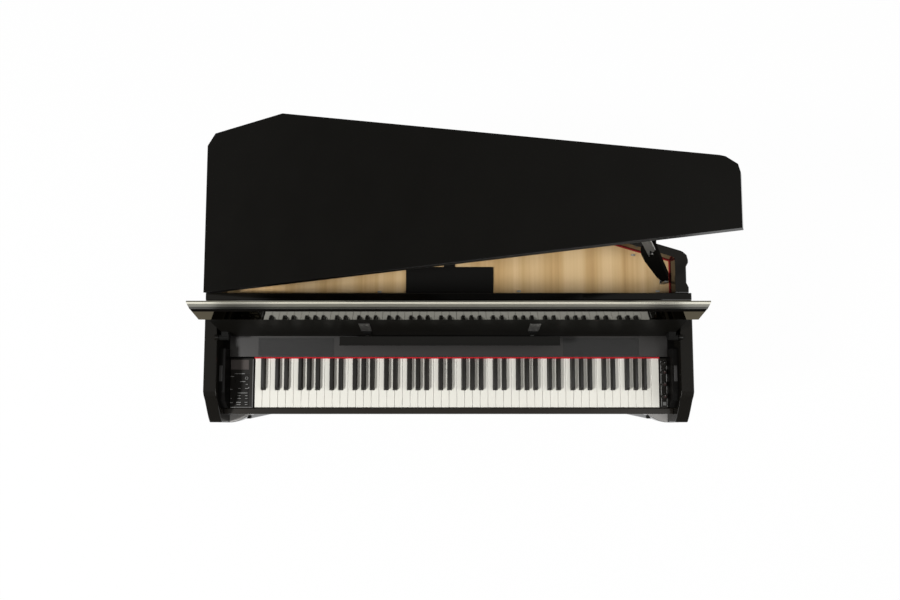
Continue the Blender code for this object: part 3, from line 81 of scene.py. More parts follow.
class Signal:
    """One output socket that can be used in Python expressions."""

    def __init__(self, nodes: "NodeKit", socket: bpy.types.NodeSocket) -> None:
        self.nodes = nodes
        self.socket = socket

    def _math(self, operation: str, *values: Any) -> "Signal":
        """Adds a Math node.

        Args:
            operation: Blender's name of the operation.
            values: numbers or signals for its sockets.

        Returns:
            The node's value.
        """
        made = self.nodes.add("ShaderNodeMath", {"operation": operation}, dict(enumerate(values)))
        return Signal(self.nodes, made.outputs[0])

    def __add__(self, other: Any) -> "Signal":
        """Sum."""
        return self._math("ADD", self, other)

    __radd__ = __add__

    def __sub__(self, other: Any) -> "Signal":
        """Difference."""
        return self._math("SUBTRACT", self, other)

    def __rsub__(self, other: Any) -> "Signal":
        """Difference with the number first."""
        return self._math("SUBTRACT", other, self)

    def __mul__(self, other: Any) -> "Signal":
        """Product."""
        return self._math("MULTIPLY", self, other)

    __rmul__ = __mul__

    def __truediv__(self, other: Any) -> "Signal":
        """Quotient."""
        return self._math("DIVIDE", self, other)

    def __rtruediv__(self, other: Any) -> "Signal":
        """Quotient with the number first."""
        return self._math("DIVIDE", other, self)

    def above(self, limit: float) -> "Signal":
        """1 where the value is above the limit."""
        return self._math("GREATER_THAN", self, limit)

    def below(self, limit: float) -> "Signal":
        """1 where the value is below the limit."""
        return self._math("LESS_THAN", self, limit)

    def fraction(self) -> "Signal":
        """The part after the decimal point."""
        return self._math("FRACT", self)

    def clamp(self) -> "Signal":
        """The value held between 0 and 1."""
        low = self._math("MAXIMUM", self, 0.0)
        return low._math("MINIMUM", low, 1.0)


class NodeKit:
    """Adds nodes to one tree and feeds its main node, a shader or a background."""

    def __init__(self, tree: bpy.types.NodeTree, main: str) -> None:
        """Keeps the tree and its main node."""
        self.tree = tree
        self.main = tree.nodes[main]

    def add(
        self, kind: str, settings: Optional[dict[str, Any]] = None,
        inputs: Optional[dict[Union[str, int], Any]] = None,
    ) -> bpy.types.Node:
        """Adds any node.

        Args:
            kind: the node's type.
            settings: attributes that are set first; "stops" holds a ramp's stops.
            inputs: socket name or number to a value or a signal.

        Returns:
            The node.
        """
        node = self.tree.nodes.new(kind)
        for name, value in (settings or {}).items():
            if name == "stops":
                self._stops(node, value)
            else:
                setattr(node, name, value)
        for key, value in (inputs or {}).items():
            self.feed(node.inputs[key], value)
        return node

    def _stops(self, node: bpy.types.Node, stops: Sequence[tuple[float, Colour]]) -> None:
        """Sets a colour ramp's stops.

        Args:
            node: the ramp's node.
            stops: place and colour of each stop.
        """
        ramp = node.color_ramp
        while len(ramp.elements) > len(stops):
            ramp.elements.remove(ramp.elements[-1])
        while len(ramp.elements) < len(stops):
            ramp.elements.new(1.0)
        for element, (place, colour) in zip(ramp.elements, stops):
            element.position = place
            element.color = (*colour, 1.0)

    def feed(self, socket: bpy.types.NodeSocket, value: Any) -> None:
        """Links a signal to a socket, or sets the socket's own value.

        Args:
            socket: the input socket.
            value: a signal, a number, a vector or a colour.
        """
        if isinstance(value, Signal):
            self.tree.links.new(value.socket, socket)
        elif isinstance(value, tuple) and len(value) == 3 and len(socket.default_value) == 4:
            socket.default_value = (*value, 1.0)
        else:
            socket.default_value = value

    def put(self, **values: Any) -> None:
        """Feeds sockets of the main node; an underscore stands for a space in a name."""
        for name, value in values.items():
            self.feed(self.main.inputs[name.replace("_", " ")], value)

    def place(self, scale: Point3 = (1.0, 1.0, 1.0)) -> Signal:
        """Object coordinates.

        Args:
            scale: stretch on each axis.

        Returns:
            The stretched place.
        """
        base = Signal(self, self.add("ShaderNodeTexCoord").outputs["Object"])
        made = self.add("ShaderNodeMapping", None, {"Vector": base, "Scale": scale})
        return Signal(self, made.outputs[0])

    def axis(self, name: str, source: Signal) -> Signal:
        """One coordinate, X, Y or Z, of a vector."""
        made = self.add("ShaderNodeSeparateXYZ", None, {0: source})
        return Signal(self, made.outputs[name])

    def noise(self, where: Signal, scale: float, detail: float = 3.0, rough: float = 0.5) -> Signal:
        """Soft noise.

        Args:
            where: the place it is taken at.
            scale: how many patches fit in a metre.
            detail: how many finer layers it has.
            rough: how strong the finer layers are.

        Returns:
            A value between 0 and 1.
        """
        values = {"Vector": where, "Scale": scale, "Detail": detail, "Roughness": rough}
        made = self.add("ShaderNodeTexNoise", None, values)
        return Signal(self, made.outputs[0])

    def ramp(self, value: Signal, stops: Sequence[tuple[float, Colour]]) -> Signal:
        """Colours picked by a value."""
        made = self.add("ShaderNodeValToRGB", {"stops": stops}, {0: value})
        return Signal(self, made.outputs[0])

    def blend(self, share: Any, first: Any, second: Any) -> Signal:
        """Mix of two colours.

        Args:
            share: how much of the second colour, from 0 to 1.
            first: the colour where the share is 0.
            second: the colour where the share is 1.

        Returns:
            The mixed colour.
        """
        made = self.add("ShaderNodeMix", {"data_type": "RGBA"}, {0: share, 6: first, 7: second})
        return Signal(self, made.outputs[2])

    def bump(self, height: Signal, strength: float, distance: float) -> Signal:
        """A normal that follows a height.

        Args:
            height: the height over the surface, from 0 to 1.
            strength: how much of the bump is used.
            distance: how high a height of 1 is.

        Returns:
            The normal.
        """
        values = {"Height": height, "Strength": strength, "Distance": distance}
        made = self.add("ShaderNodeBump", None, values)
        return Signal(self, made.outputs[0])

    def rays(self, *names: str) -> Signal:
        """Tells which rays ask for the colour.

        Args:
            names: names of the Light Path outputs.

        Returns:
            1 where the ray is of one of the named kinds.
        """
        path = self.add("ShaderNodeLightPath")
        total = Signal(self, path.outputs[names[0]])
        for name in names[1:]:
            total = total + Signal(self, path.outputs[name])
        return total.clamp()


@dataclass(frozen=True)
class Finish:
    """A surface finish: its record slot and the numbers of its main shader.

    patch is the scale of its slow clouds, and spread the range of its roughness.
    """

    name: str
    slot: str
    colour: Colour
    roughness: float
    metallic: float = 0.0
    coat: float = 0.0
    coat_roughness: float = 0.03
    specular: float = 0.5
    patch: float = 18.0
    spread: float = 0.06

    def material(self) -> bpy.types.Material:
        """Makes the material of this finish once.

        Returns:
            The material, the same one at each call.
        """
        found = bpy.data.materials.get(self.name)
        if found is not None:
            return found
        made = bpy.data.materials.new(self.name)
        made.use_nodes = True
        nodes = NodeKit(made.node_tree, "Principled BSDF")
        nodes.put(
            Base_Color=self.colour, Roughness=self.roughness, Metallic=self.metallic,
            Coat_Weight=self.coat, Coat_Roughness=self.coat_roughness, Specular_IOR_Level=self.specular,
        )
        self.detail(nodes)
        return made

    def worn(self, pattern: Signal) -> Signal:
        """The roughness, spread about its plain value by a pattern."""
        return pattern * self.spread + (self.roughness - self.spread / 2)

    def detail(self, nodes: NodeKit) -> None:
        """Adds this finish's own grain; the plain finish has a faint roughness change."""
        nodes.put(Roughness=self.worn(nodes.noise(nodes.place(), self.patch, 4.0)))


@dataclass(frozen=True)
class Lacquer(Finish):
    """Polished black lacquer with a very slight wave and fine dust."""

    patch: float = 9.0
    spread: float = 0.03
    dust: float = 260.0
    wave: float = 0.012
    wave_height: float = 0.01
    cloud: Point2 = (1.5, 0.001)

    def detail(self, nodes: NodeKit) -> None:
        """Adds the slow wave, the dust and a little colour change.
        """
        where = nodes.place()
        slow = nodes.noise(where, self.patch, 2.0)
        nodes.put(
            Base_Color=nodes.blend(slow, self.colour, scaled(self.colour, *self.cloud)),
            Roughness=self.worn(nodes.noise(where, self.dust, 2.0)),
            Normal=nodes.bump(slow, self.wave, self.wave_height),
        )


@dataclass(frozen=True)
class Grained(Finish):
    """Satin moulded or painted surface with a fine pebble."""

    patch: float = 6.0
    spread: float = 0.12
    pebble: float = 900.0
    pebble_height: float = 0.0004
    depth: float = 0.25
    cloud: float = 1.25

    def detail(self, nodes: NodeKit) -> None:
        """Adds the pebble and small colour changes.
        """
        where = nodes.place()
        grain = nodes.noise(where, self.pebble, 2.0, 0.6)
        slow = nodes.noise(where, self.patch)
        nodes.put(
            Base_Color=nodes.blend(slow, self.colour, scaled(self.colour, self.cloud)),
            Roughness=self.worn(grain), Normal=nodes.bump(grain, self.depth, self.pebble_height),
        )


@dataclass(frozen=True)
class Spruce(Finish):
    """Straight-grained softwood whose grain runs from the keys to the tail."""

    spread: float = 0.15
    honey: Colour = (0.61, 0.395, 0.175)
    dark: Colour = (0.46, 0.27, 0.10)
    boards: Point3 = (11.0, 0.2, 1.0)
    board_scale: float = 1.6
    board_stops: Point3 = (0.28, 0.42, 0.60)
    growth: Point3 = (150.0, 0.8, 1.0)
    growth_share: float = 0.30
    flecks: Point3 = (240.0, 60.0, 1.0)
    fleck_share: float = 0.12
    groove: Point2 = (0.15, 0.0005)

    def detail(self, nodes: NodeKit) -> None:
        """Adds wide boards, fine growth lines and faint cross flecks.
        """
        wide = nodes.noise(nodes.place(self.boards), self.board_scale, 4.0, 0.6)
        lines = nodes.noise(nodes.place(self.growth), 1.0, 3.0, 0.6)
        fleck = nodes.noise(nodes.place(self.flecks), 1.0, 2.0)
        board = nodes.ramp(wide, list(zip(self.board_stops, (self.dark, self.honey, self.colour))))
        grown = nodes.blend(lines * self.growth_share, board, self.dark)
        nodes.put(
            Base_Color=nodes.blend(fleck * self.fleck_share, grown, self.colour),
            Roughness=self.worn(lines), Normal=nodes.bump(lines, *self.groove),
        )


@dataclass(frozen=True)
class Felt(Finish):
    """Pressed wool felt."""

    fibre: float = 1400.0
    shade: float = 0.6
    nap: Point2 = (0.6, 0.0006)

    def detail(self, nodes: NodeKit) -> None:
        """Adds the fibres.
        """
        fuzz = nodes.noise(nodes.place(), self.fibre, 4.0, 0.7)
        tint = nodes.blend(fuzz, scaled(self.colour, self.shade), self.colour)
        nodes.put(Base_Color=tint, Normal=nodes.bump(fuzz, *self.nap))


@dataclass(frozen=True)
class Brushed(Finish):
    """Brushed metal whose lines run along one axis."""

    spread: float = 0.18
    stretch: Point3 = (3.0, 500.0, 500.0)
    shade: float = 0.6
    shade_share: float = 0.35
    groove: Point2 = (0.12, 0.0003)

    def detail(self, nodes: NodeKit) -> None:
        """Adds the brush lines.
        """
        lines = nodes.noise(nodes.place(self.stretch), 1.0, 3.0, 0.6)
        tint = nodes.blend(lines * self.shade_share, self.colour, scaled(self.colour, self.shade))
        nodes.put(Base_Color=tint, Roughness=self.worn(lines), Normal=nodes.bump(lines, *self.groove))


@dataclass(frozen=True)
class LipMetal(Brushed):
    """Brushed lip with a painted highlight along its tip and painted shade along its root.

    root and tip are heights over the floor. Between them each tone of the colour holds
    from one step to the next.
    """

    spread: float = 0.08
    stretch: Point3 = (2.0, 400.0, 400.0)
    shade_share: float = 0.12
    root: float = 0.974
    tip: float = 1.013
    # Factors on the colour for the painted shade, the plain tone and the painted highlight.
    shade_highlight_tones: Point3 = (0.10, 0.72, 3.0)
    steps: tuple[float, ...] = (0.28, 0.42, 0.68, 0.84)

    def detail(self, nodes: NodeKit) -> None:
        """Adds fine brush lines and the painted shade at the root that turns to a painted highlight at the
        tip.
        """
        lines = nodes.noise(nodes.place(self.stretch), 1.0, 2.0)
        height = nodes.axis("Z", nodes.place())
        # Painted shade along the root and a painted highlight along the tip stand in for the light the
        # rounded lip reflects.
        share = ((height - self.root) / (self.tip - self.root)).clamp()
        dark, plain, light = (scaled(self.colour, tone) for tone in self.shade_highlight_tones)
        tone = nodes.ramp(share, list(zip((0.0, *self.steps), (dark, dark, plain, plain, light))))
        tint = nodes.blend(lines * self.shade_share, tone, self.colour)
        nodes.put(Base_Color=tint, Roughness=self.worn(lines))


@dataclass(frozen=True)
class MirrorLeaf(Lacquer):
    """Mirror polish between first and last; the ends beyond them carry a painted reflection, a warmer,
    dimmer black that stands for the dim floor seen in them.
    """

    wave: float = 0.006
    first: float = -0.512
    last: float = 0.560
    # Painted reflection: the warm, dim tone of the ends stands for the shaded floor reflected there.
    ends: Colour = (0.030, 0.021, 0.013)
    mirror_tint: Colour = (1.0, 0.97, 0.84)

    def detail(self, nodes: NodeKit) -> None:
        """Adds the faint wave and the painted reflection tone on the ends.
        """
        where = nodes.place()
        across = nodes.axis("X", where)
        # Beyond first and last the leaf shows the painted reflection tone as a dim metal in place of the
        # mirror coat.
        painted_reflection_mask = across.below(self.first) + across.above(self.last)
        slow = nodes.noise(where, self.patch, 2.0)
        nodes.put(
            Base_Color=nodes.blend(painted_reflection_mask, self.colour, self.ends), Metallic=painted_reflection_mask,
            Coat_Weight=1.0 - painted_reflection_mask, Normal=nodes.bump(slow, self.wave, self.wave_height),
            Specular_Tint=self.mirror_tint,
        )


@dataclass(frozen=True)
class Mesh(Finish):
    """Fine perforated sheet: a grid of small round holes."""

    pitch: float = 0.0022
    hole: float = 0.33
    hollow: Colour = (0.004, 0.004, 0.004)
    hollow_roughness: float = 0.4
    sunk: Point2 = (0.5, 0.0005)

    def detail(self, nodes: NodeKit) -> None:
        """Darkens and sinks the round holes.
        """
        scale = 1.0 / self.pitch
        where = nodes.place((scale, scale, scale))
        across = nodes.axis("X", where).fraction() - 0.5
        along = nodes.axis("Y", where).fraction() - 0.5
        inside = (across * across + along * along).below(self.hole * self.hole)
        nodes.put(
            Base_Color=nodes.blend(inside, self.colour, self.hollow),
            Roughness=inside * self.hollow_roughness + self.roughness,
            Normal=nodes.bump(1.0 - inside, *self.sunk),
        )


@dataclass(frozen=True)
class Backdrop(Finish):
    """Floor that looks white to the camera and in reflections, and keeps a faint shadow."""

    glow: float = 0.975

    def detail(self, nodes: NodeKit) -> None:
        """Mixes the plain floor with a white glow for the rays that see it.
        """
        seen = nodes.rays("Is Camera Ray", "Is Glossy Ray", "Is Transmission Ray")
        glow = nodes.add("ShaderNodeEmission", None, {"Color": WHITE, "Strength": 1.0})
        plain = Signal(nodes, nodes.main.outputs[0])
        both = {0: seen * self.glow, 1: plain, 2: Signal(nodes, glow.outputs[0])}
        mix = nodes.add("ShaderNodeMixShader", None, both)
        nodes.feed(nodes.tree.nodes["Material Output"].inputs[0], Signal(nodes, mix.outputs[0]))


class Gloss(Enum):
    """The finishes of this piano and its floor."""

    CASE = Lacquer("case_lacquer", "gloss_black", (0.0018, 0.0016, 0.0012), 0.035)
    ARM = Lacquer("arm_lacquer", "gloss_black", (0.0050, 0.0044, 0.0034), 0.10)
    # Mirror polish, with a painted reflection tone on the ends beyond the arms.
    LEAF = MirrorLeaf("leaf_polish", "gloss_black", (0.0022, 0.0020, 0.0016), 0.035, coat=1.0, specular=1.0)
    LEAF_LOW = Lacquer("lower_leaf_polish", "gloss_black", (0.0050, 0.0046, 0.0038), 0.30, specular=0.03)
    INNER = Lacquer("inner_lacquer", "gloss_black", (0.0016, 0.0014, 0.0012), 0.30, specular=0.12)
    STAY = Grained("stay_paint", "gloss_black", (0.0050, 0.0045, 0.0040), 0.60, specular=0.0)
    SLIP = Lacquer("slip_lacquer", "gloss_black", (0.0120, 0.0098, 0.0075), 0.22)
    PANEL = Grained("panel_satin", "satin_black", (0.018, 0.0165, 0.0155), 0.40, depth=0.12, specular=0.7)
    CONTROL = Grained("control_satin", "satin_black", (0.011, 0.010, 0.0085), 0.36, depth=0.08, specular=0.2)
    COVER = Grained("cover_satin", "satin_black", (0.0040, 0.0037, 0.0032), 0.5, specular=0.15)
    BOARD = Grained("board_paint", "satin_black", (0.010, 0.010, 0.0095), 0.55, pebble=300.0)
    HEAD = Grained("leg_head_satin", "satin_black", (0.32, 0.31, 0.30), 0.5)
    WOOD = Spruce("spruce_board", "spruce", (0.77, 0.56, 0.30), 0.425)
    FELT = Felt("wool_felt", "red_felt", (0.68, 0.010, 0.022), 0.95)
    EDGE_FELT = Felt("edge_wool_felt", "red_felt", (0.36, 0.006, 0.010), 0.95)
    RUBBER = Grained("soft_rubber", "soft_grey", (0.0120, 0.0112, 0.0100), 0.5, specular=0.1)
    STRIP = Grained("strip_rubber", "soft_grey", (0.026, 0.0245, 0.024), 0.6)
    METAL = Brushed("polished_plate", "bright_metal", (0.56, 0.55, 0.52), 0.30, 1.0)
    # Lip metal with painted shade along its root and a painted highlight along its tip.
    LIP = LipMetal("lip_metal", "bright_metal", (0.30, 0.292, 0.245), 0.28, 1.0)
    STEEL = Brushed("grey_steel", "bright_metal", (0.24, 0.235, 0.225), 0.38, 1.0)
    DARK_METAL = Brushed("dark_metal", "bright_metal", (0.008, 0.0078, 0.0074), 0.60, specular=0.05)
    BRASS = Brushed("brass_fitting", "brass", (0.80, 0.56, 0.24), 0.22, 1.0)
    GRILLE = Mesh("grille_mesh", "satin_black", (0.024, 0.0235, 0.0225), 0.5)
    WINDOW = Finish("display_window", "smoked_window", (0.078, 0.068, 0.064), 0.30, specular=0.08)
    IVORY = Finish("key_ivory", "key_white", (0.80, 0.785, 0.715), 0.30, coat=0.2, coat_roughness=0.12)
    EBONY = Grained(
        "key_ebony", "key_black", (0.0085, 0.0076, 0.0062), 0.34, pebble=500.0, depth=0.05, specular=0.4,
    )
    PRINT = Finish("pale_print", "soft_grey", (0.34, 0.34, 0.33), 0.6)
    FAINT = Finish("faint_print", "soft_grey", (0.15, 0.15, 0.145), 0.6)
    KNOB_TOP = Finish("red_cap", "red_felt", (0.030, 0.009, 0.008), 0.5)
    FLOOR = Backdrop("floor_white", "floor", (0.9, 0.9, 0.9), 0.9, specular=0.1)


def dress(finish: Gloss, *nodes: str) -> None:
    """Gives CAD nodes their finish.

    Args:
        finish: the finish they take.
        nodes: the CAD nodes' names.
    """
    for node in nodes:
        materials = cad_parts[node].data.materials
        materials.clear()
        materials.append(finish.value.material())


def dress_faces(node: str, finish: Gloss, chosen: Callable[[Vector, Vector], bool]) -> None:
    """Gives some faces of a dressed CAD node another finish.

    Args:
        node: the CAD node's name.
        finish: the finish of the chosen faces.
        chosen: tells from a face's centre and normal whether it takes the finish.
    """
    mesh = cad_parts[node].data
    mesh.materials.append(finish.value.material())
    index = len(mesh.materials) - 1
    for face in mesh.polygons:
        if chosen(face.center, face.normal):
            face.material_index = index


@dataclass
class Solid:
    """Mesh builder for one new piece."""

    name: str
    body: str
    finish: Gloss
    mesh: bmesh.types.BMesh = field(default_factory=bmesh.new)

    def box(self, low: Point3, high: Point3) -> None:
        """Adds a box.

        Args:
            low: its lowest corner.
            high: its highest corner.
        """
        size = [b - a for a, b in zip(low, high)]
        centre = [(a + b) / 2 for a, b in zip(low, high)]
        move = Matrix.Translation(centre) @ Matrix.Diagonal((*size, 1.0))
        bmesh.ops.create_cube(self.mesh, size=1.0, matrix=move)

    def rod(self, start: Point3, end: Point3, radii: Point2, sides: int) -> None:
        """Adds a rod or cone.

        Args:
            start: middle of its first end.
            end: middle of its last end.
            radii: radius at each end.
            sides: how many flat sides it has.
        """
        first, last = Vector(start), Vector(end)
        along = last - first
        turn = along.to_track_quat("Z", "Y").to_matrix().to_4x4()
        move = Matrix.Translation((first + last) / 2) @ turn
        bmesh.ops.create_cone(
            self.mesh, cap_ends=True, segments=sides, radius1=radii[0], radius2=radii[1],
            depth=along.length, matrix=move,
        )

    def prism(self, outline: Sequence[Point3], shift: Point3) -> None:
        """Adds a solid from a flat outline that is moved along a shift.

        Args:
            outline: corners of the first face.
            shift: way from the first face to the last.
        """
        first = [self.mesh.verts.new(point) for point in outline]
        last = [self.mesh.verts.new(Vector(point) + Vector(shift)) for point in outline]
        self.mesh.faces.new(list(reversed(first)))
        self.mesh.faces.new(last)
        self.skin(first, last)

    def bar(self, corners: Sequence[Vector], start: float, end: float) -> None:
        """Adds a bar with one section all along, from one place on X to another."""
        self.prism([(start, corner.y, corner.z) for corner in corners], (end - start, 0.0, 0.0))

    def post(self, spot: Point2, level: Point2, radii: Point2, sides: int) -> None:
        """Adds an upright rod at a spot, between two levels, with a radius at each."""
        self.rod((*spot, level[0]), (*spot, level[1]), radii, sides)

    def block(self, spot: Point2, half: Point2, level: Point2) -> None:
        """Adds a box about a spot, between two levels."""
        low, high = (tuple(a + way * b for a, b in zip(spot, half)) for way in (-1, 1))
        self.box((*low, level[0]), (*high, level[1]))

    def skin(self, first: Sequence[bmesh.types.BMVert], last: Sequence[bmesh.types.BMVert]) -> None:
        """Joins two rings of corners with a band of faces.

        Args:
            first: corners of the first ring.
            last: as many corners of the last ring.
        """
        for index, corner in enumerate(first):
            after = (index + 1) % len(first)
            self.mesh.faces.new((corner, first[after], last[after], last[index]))

    def done(self, bevel: float = 0.0, steps: int = 1) -> bpy.types.Object:
        """Closes the piece and puts it in the scene.

        Args:
            bevel: width of the rounded edges.
            steps: steps across each rounded edge.

        Returns:
            The new object, which rides on its body.
        """
        bmesh.ops.recalc_face_normals(self.mesh, faces=self.mesh.faces)
        data = bpy.data.meshes.new(self.name)
        self.mesh.to_mesh(data)
        self.mesh.free()
        data.materials.append(self.finish.value.material())
        item = bpy.data.objects.new(self.name, data)
        bpy.context.scene.collection.objects.link(item)
        if bevel > 0.0:
            edge = item.modifiers.new("edges", "BEVEL")
            edge.width = bevel
            edge.segments = steps
            edge.limit_method = "ANGLE"
            edge.angle_limit = math.radians(BEVEL_ANGLE)
        data.shade_smooth()
        data.set_sharp_from_angle(angle=math.radians(SHARP_ANGLE))
        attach(item, self.body)
        LOG.info("piece %s on %s", self.name, self.body)
        return item


@dataclass
class Case:
    """Dressing of the case and its boards, and the small fittings on them."""

    inner_face: float = 0.6795
    lid_edge: float = -0.3
    clip_spots: tuple[Point2, ...] = ((-0.209, 0.348), (0.212, 0.350), (0.560, 0.461), (0.632, 0.350))
    clip_half: Point2 = (0.006, 0.003)
    clip_plate: float = 0.0012
    clip_screw: Point2 = (0.0026, 0.0018)
    clip_height: float = 0.0028
    strip_spots: Point2 = (-0.6720, 0.6697)
    strip_half: float = 0.0048
    strip_length: Point2 = (0.077, 0.124)
    strip_level: Point2 = (0.7845, 0.7870)
    strip_edge: float = 0.0012
    cheek: float = 0.0206
    slip_gap: float = 0.0004
    cap_low: float = 0.6748
    cap_thickness: float = 0.0012
    cap_inset: float = 0.0012
    cap_lap: float = 0.002
    cap_corner: float = 0.0005
    cap_steps: int = 8
    sweep: float = 0.026

    def build(self) -> None:
        """Dresses the CAD nodes and adds the fittings."""
        self.finishes()
        self.grilles()
        self.clips()
        self.arm_strips()
        self.leg_caps()

    def finishes(self) -> None:
        """Dresses the case, the legs, the pedals and the boards."""
        dress(
            Gloss.CASE, "left_front_leg", "right_front_leg", "tail_leg", "pedal_lyre", "pedal_box",
            "music_shelf", "lid",
        )
        dress(Gloss.ARM, "left_arm", "right_arm", "rim", "front_crossboard")
        dress(Gloss.SLIP, "key_slip")
        dress(Gloss.PANEL, "speaker_panel", "left_grille", "right_grille")
        dress(Gloss.BOARD, "bottom_board", "keybed")
        dress(Gloss.COVER, "centre_cover")
        dress(Gloss.WOOD, "soundboard")
        dress(Gloss.EDGE_FELT, "edge_felt")
        dress(Gloss.FELT, "key_felt")
        dress(
            Gloss.BRASS, "lid_hinge_body_leaf", "lid_hinge_lid_leaf", "soft_pedal", "sostenuto_pedal",
            "damper_pedal", "lyre_brace",
        )
        for arm in ("left_arm", "right_arm"):
            dress_faces(arm, Gloss.INNER, lambda spot, normal: abs(spot.x) < self.inner_face)
        dress_faces("lid", Gloss.INNER, lambda spot, normal: normal.y < self.lid_edge)

    def grilles(self) -> None:
        """Fine perforated sheets over the slotted grille solids."""
        for side in ("left", "right"):
            low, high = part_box(f"{side}_grille")
            sheet = Solid(f"{side}_grille_mesh", "case", Gloss.GRILLE)
            sheet.box(tuple(low), tuple(high))
            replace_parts(sheet.done(), f"{side}_grille")

    def clips(self) -> None:
        """Small screwed clips that hold the soundboard."""
        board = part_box("soundboard")[1].z
        plate = board + self.clip_plate
        clips = Solid("board_clips", "case", Gloss.METAL)
        for x, back in self.clip_spots:
            spot = (x, KEY_FRONT + back)
            clips.block(spot, self.clip_half, (board, plate))
            clips.post(spot, (plate - SINK, board + self.clip_height), self.clip_screw, 16)
        clips.done(FINE_EDGE)

    def arm_strips(self) -> None:
        """Rubber strips on the inner ledges of the arms, which cushion the fallboard."""
        strips = Solid("ledge_strips", "case", Gloss.STRIP)
        front, back = (KEY_FRONT + length for length in self.strip_length)
        low, high = self.strip_level
        for x in self.strip_spots:
            strips.box((x - self.strip_half, front, low), (x + self.strip_half, back, high))
        strips.done(self.strip_edge, 3)

    def leg_caps(self) -> None:
        """Satin plates on the tops of the leg heads, in front of the key slip."""
        slip_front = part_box("key_slip")[0].y - self.slip_gap
        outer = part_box("right_arm")[0].x + self.cheek
        for side, name in ((-1, "left_front_leg"), (1, "right_front_leg")):
            low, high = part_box(name)
            inner = (high.x if side < 0 else low.x) * side
            front = low.y + self.cap_inset
            outline = [(side * outer, slip_front, self.cap_low)]
            for step in range(self.cap_steps + 1):
                share = step / self.cap_steps
                x = outer + (inner - outer) * share
                y = front + self.sweep * (1 - math.cos(share * math.pi / 2))
                outline.append((side * x, min(y, slip_front - self.cap_corner), self.cap_low))
            outline.append((side * (inner + self.cap_lap), slip_front, self.cap_low))
            cap = Solid(f"{name}_cap", "case", Gloss.HEAD)
            cap.prism(outline, (0.0, 0.0, self.cap_thickness))
            cap.done()


@dataclass
class Fallboard:
    """The folded fallboard with its metal lip, and the hinge plates of the music shelf.

    A place on it is a Y and a Z. The lower leaf runs from the crown, where the board is
    folded, down to the foot.
    """

    crown: Point2 = (-0.1353, 0.9150)
    foot: Point2 = (-0.1675, 0.7757)
    facing: Point2 = (-0.8, 0.1)
    leaf: float = 0.0626
    upper_lean: float = 18.9
    # Height, standoff and reach of the painted shadow strip under the lip.
    shadow_strip: float = 0.012
    shadow_strip_out: Point2 = (0.0001, 0.0009)
    shadow_strip_reach: float = 0.688
    plate_span: Point2 = (0.22, 0.66)
    plate_out: Point2 = (0.0003, 0.0018)
    screw_spans: Point2 = (0.30, 0.58)
    screw_sides: Point2 = (0.25, 0.75)
    screw_out: Point2 = (0.0015, 0.0026)
    screw: Point2 = (0.0026, 0.0018)
    knuckle_span: Point2 = (0.67, 0.80)
    knuckle_out: float = 0.0025
    knuckle_half: Point2 = (0.0021, 0.00084)
    knuckle_inset: float = 0.004

    def build(self) -> None:
        """Dresses the board and adds the plates and the painted shadow strip."""
        dress(Gloss.CASE, "fallboard")
        dress(Gloss.LIP, "fallboard_lip")
        dress(Gloss.DARK_METAL, "left_fallboard_pivot", "right_fallboard_pivot")
        dress(Gloss.STEEL, "left_shelf_hinge", "right_shelf_hinge")
        fold = self.crown[1]
        dress_faces("fallboard", Gloss.LEAF, lambda spot, normal: self.seen(normal) and spot.z > fold)
        dress_faces("fallboard", Gloss.LEAF_LOW, lambda spot, normal: self.seen(normal) and spot.z <= fold)
        for side in ("left", "right"):
            self.shelf_hinge(side)
        self.leaf_shadow_strip()

    def seen(self, normal: Vector) -> bool:
        """Whether a face of the open board leans back and looks at the player."""
        return normal.y < self.facing[0] and normal.z > self.facing[1]

    def shelf_hinge(self, side: str) -> None:
        """A screwed plate on the lower leaf with a dark knuckle under it.

        Args:
            side: left or right.
        """
        crown = Vector((0.0, *self.crown))
        run = Vector((0.0, *self.foot)) - crown
        out = Vector((0.0, run.z, -run.y)).normalized()
        low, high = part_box(f"{side}_shelf_hinge")
        width, inset = high.x - low.x, self.knuckle_inset
        plate = Solid(f"{side}_shelf_plate", "fallboard", Gloss.STEEL)
        top, bottom = (crown + run * share for share in self.plate_span)
        under, over = (out * height for height in self.plate_out)
        corners = [top + under, top + over, bottom + over, bottom + under]
        plate.bar(corners, low.x, high.x)
        for share in self.screw_spans:
            for part in self.screw_sides:
                spot = crown + run * share + Vector((low.x + width * part, 0.0, 0.0))
                start, end = (tuple(spot + out * height) for height in self.screw_out)
                plate.rod(start, end, self.screw, 16)
        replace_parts(plate.done(FINE_EDGE), f"{side}_shelf_hinge")
        knuckle = Solid(f"{side}_shelf_knuckle", "fallboard", Gloss.DARK_METAL)
        start, end = (crown + run * share + out * self.knuckle_out for share in self.knuckle_span)
        under, over = (out * half for half in self.knuckle_half)
        corners = [start - under, start + over, end + over, end - under]
        knuckle.bar(corners, low.x + inset, high.x - inset)
        knuckle.done(FINE_EDGE)

    def leaf_shadow_strip(self) -> None:
        """Painted shadow: a dark strip along the top of the upper leaf, under the metal lip, where the lip's
        shadow line falls.
        """
        lean = math.radians(self.upper_lean)
        up = Vector((0.0, math.sin(lean), math.cos(lean)))
        out = Vector((0.0, -math.cos(lean), math.sin(lean)))
        high = Vector((0.0, *self.crown)) + up * self.leaf
        low = high - up * self.shadow_strip
        under, over = (out * height for height in self.shadow_strip_out)
        corners = [low + under, low + over, high + over, high + under]
        # Dark strip that stands in for the shadow line under the lip.
        shadow_strip = Solid("leaf_shadow_strip", "fallboard", Gloss.STAY)
        shadow_strip.bar(corners, -self.shadow_strip_reach, self.shadow_strip_reach)
        shadow_strip.done()


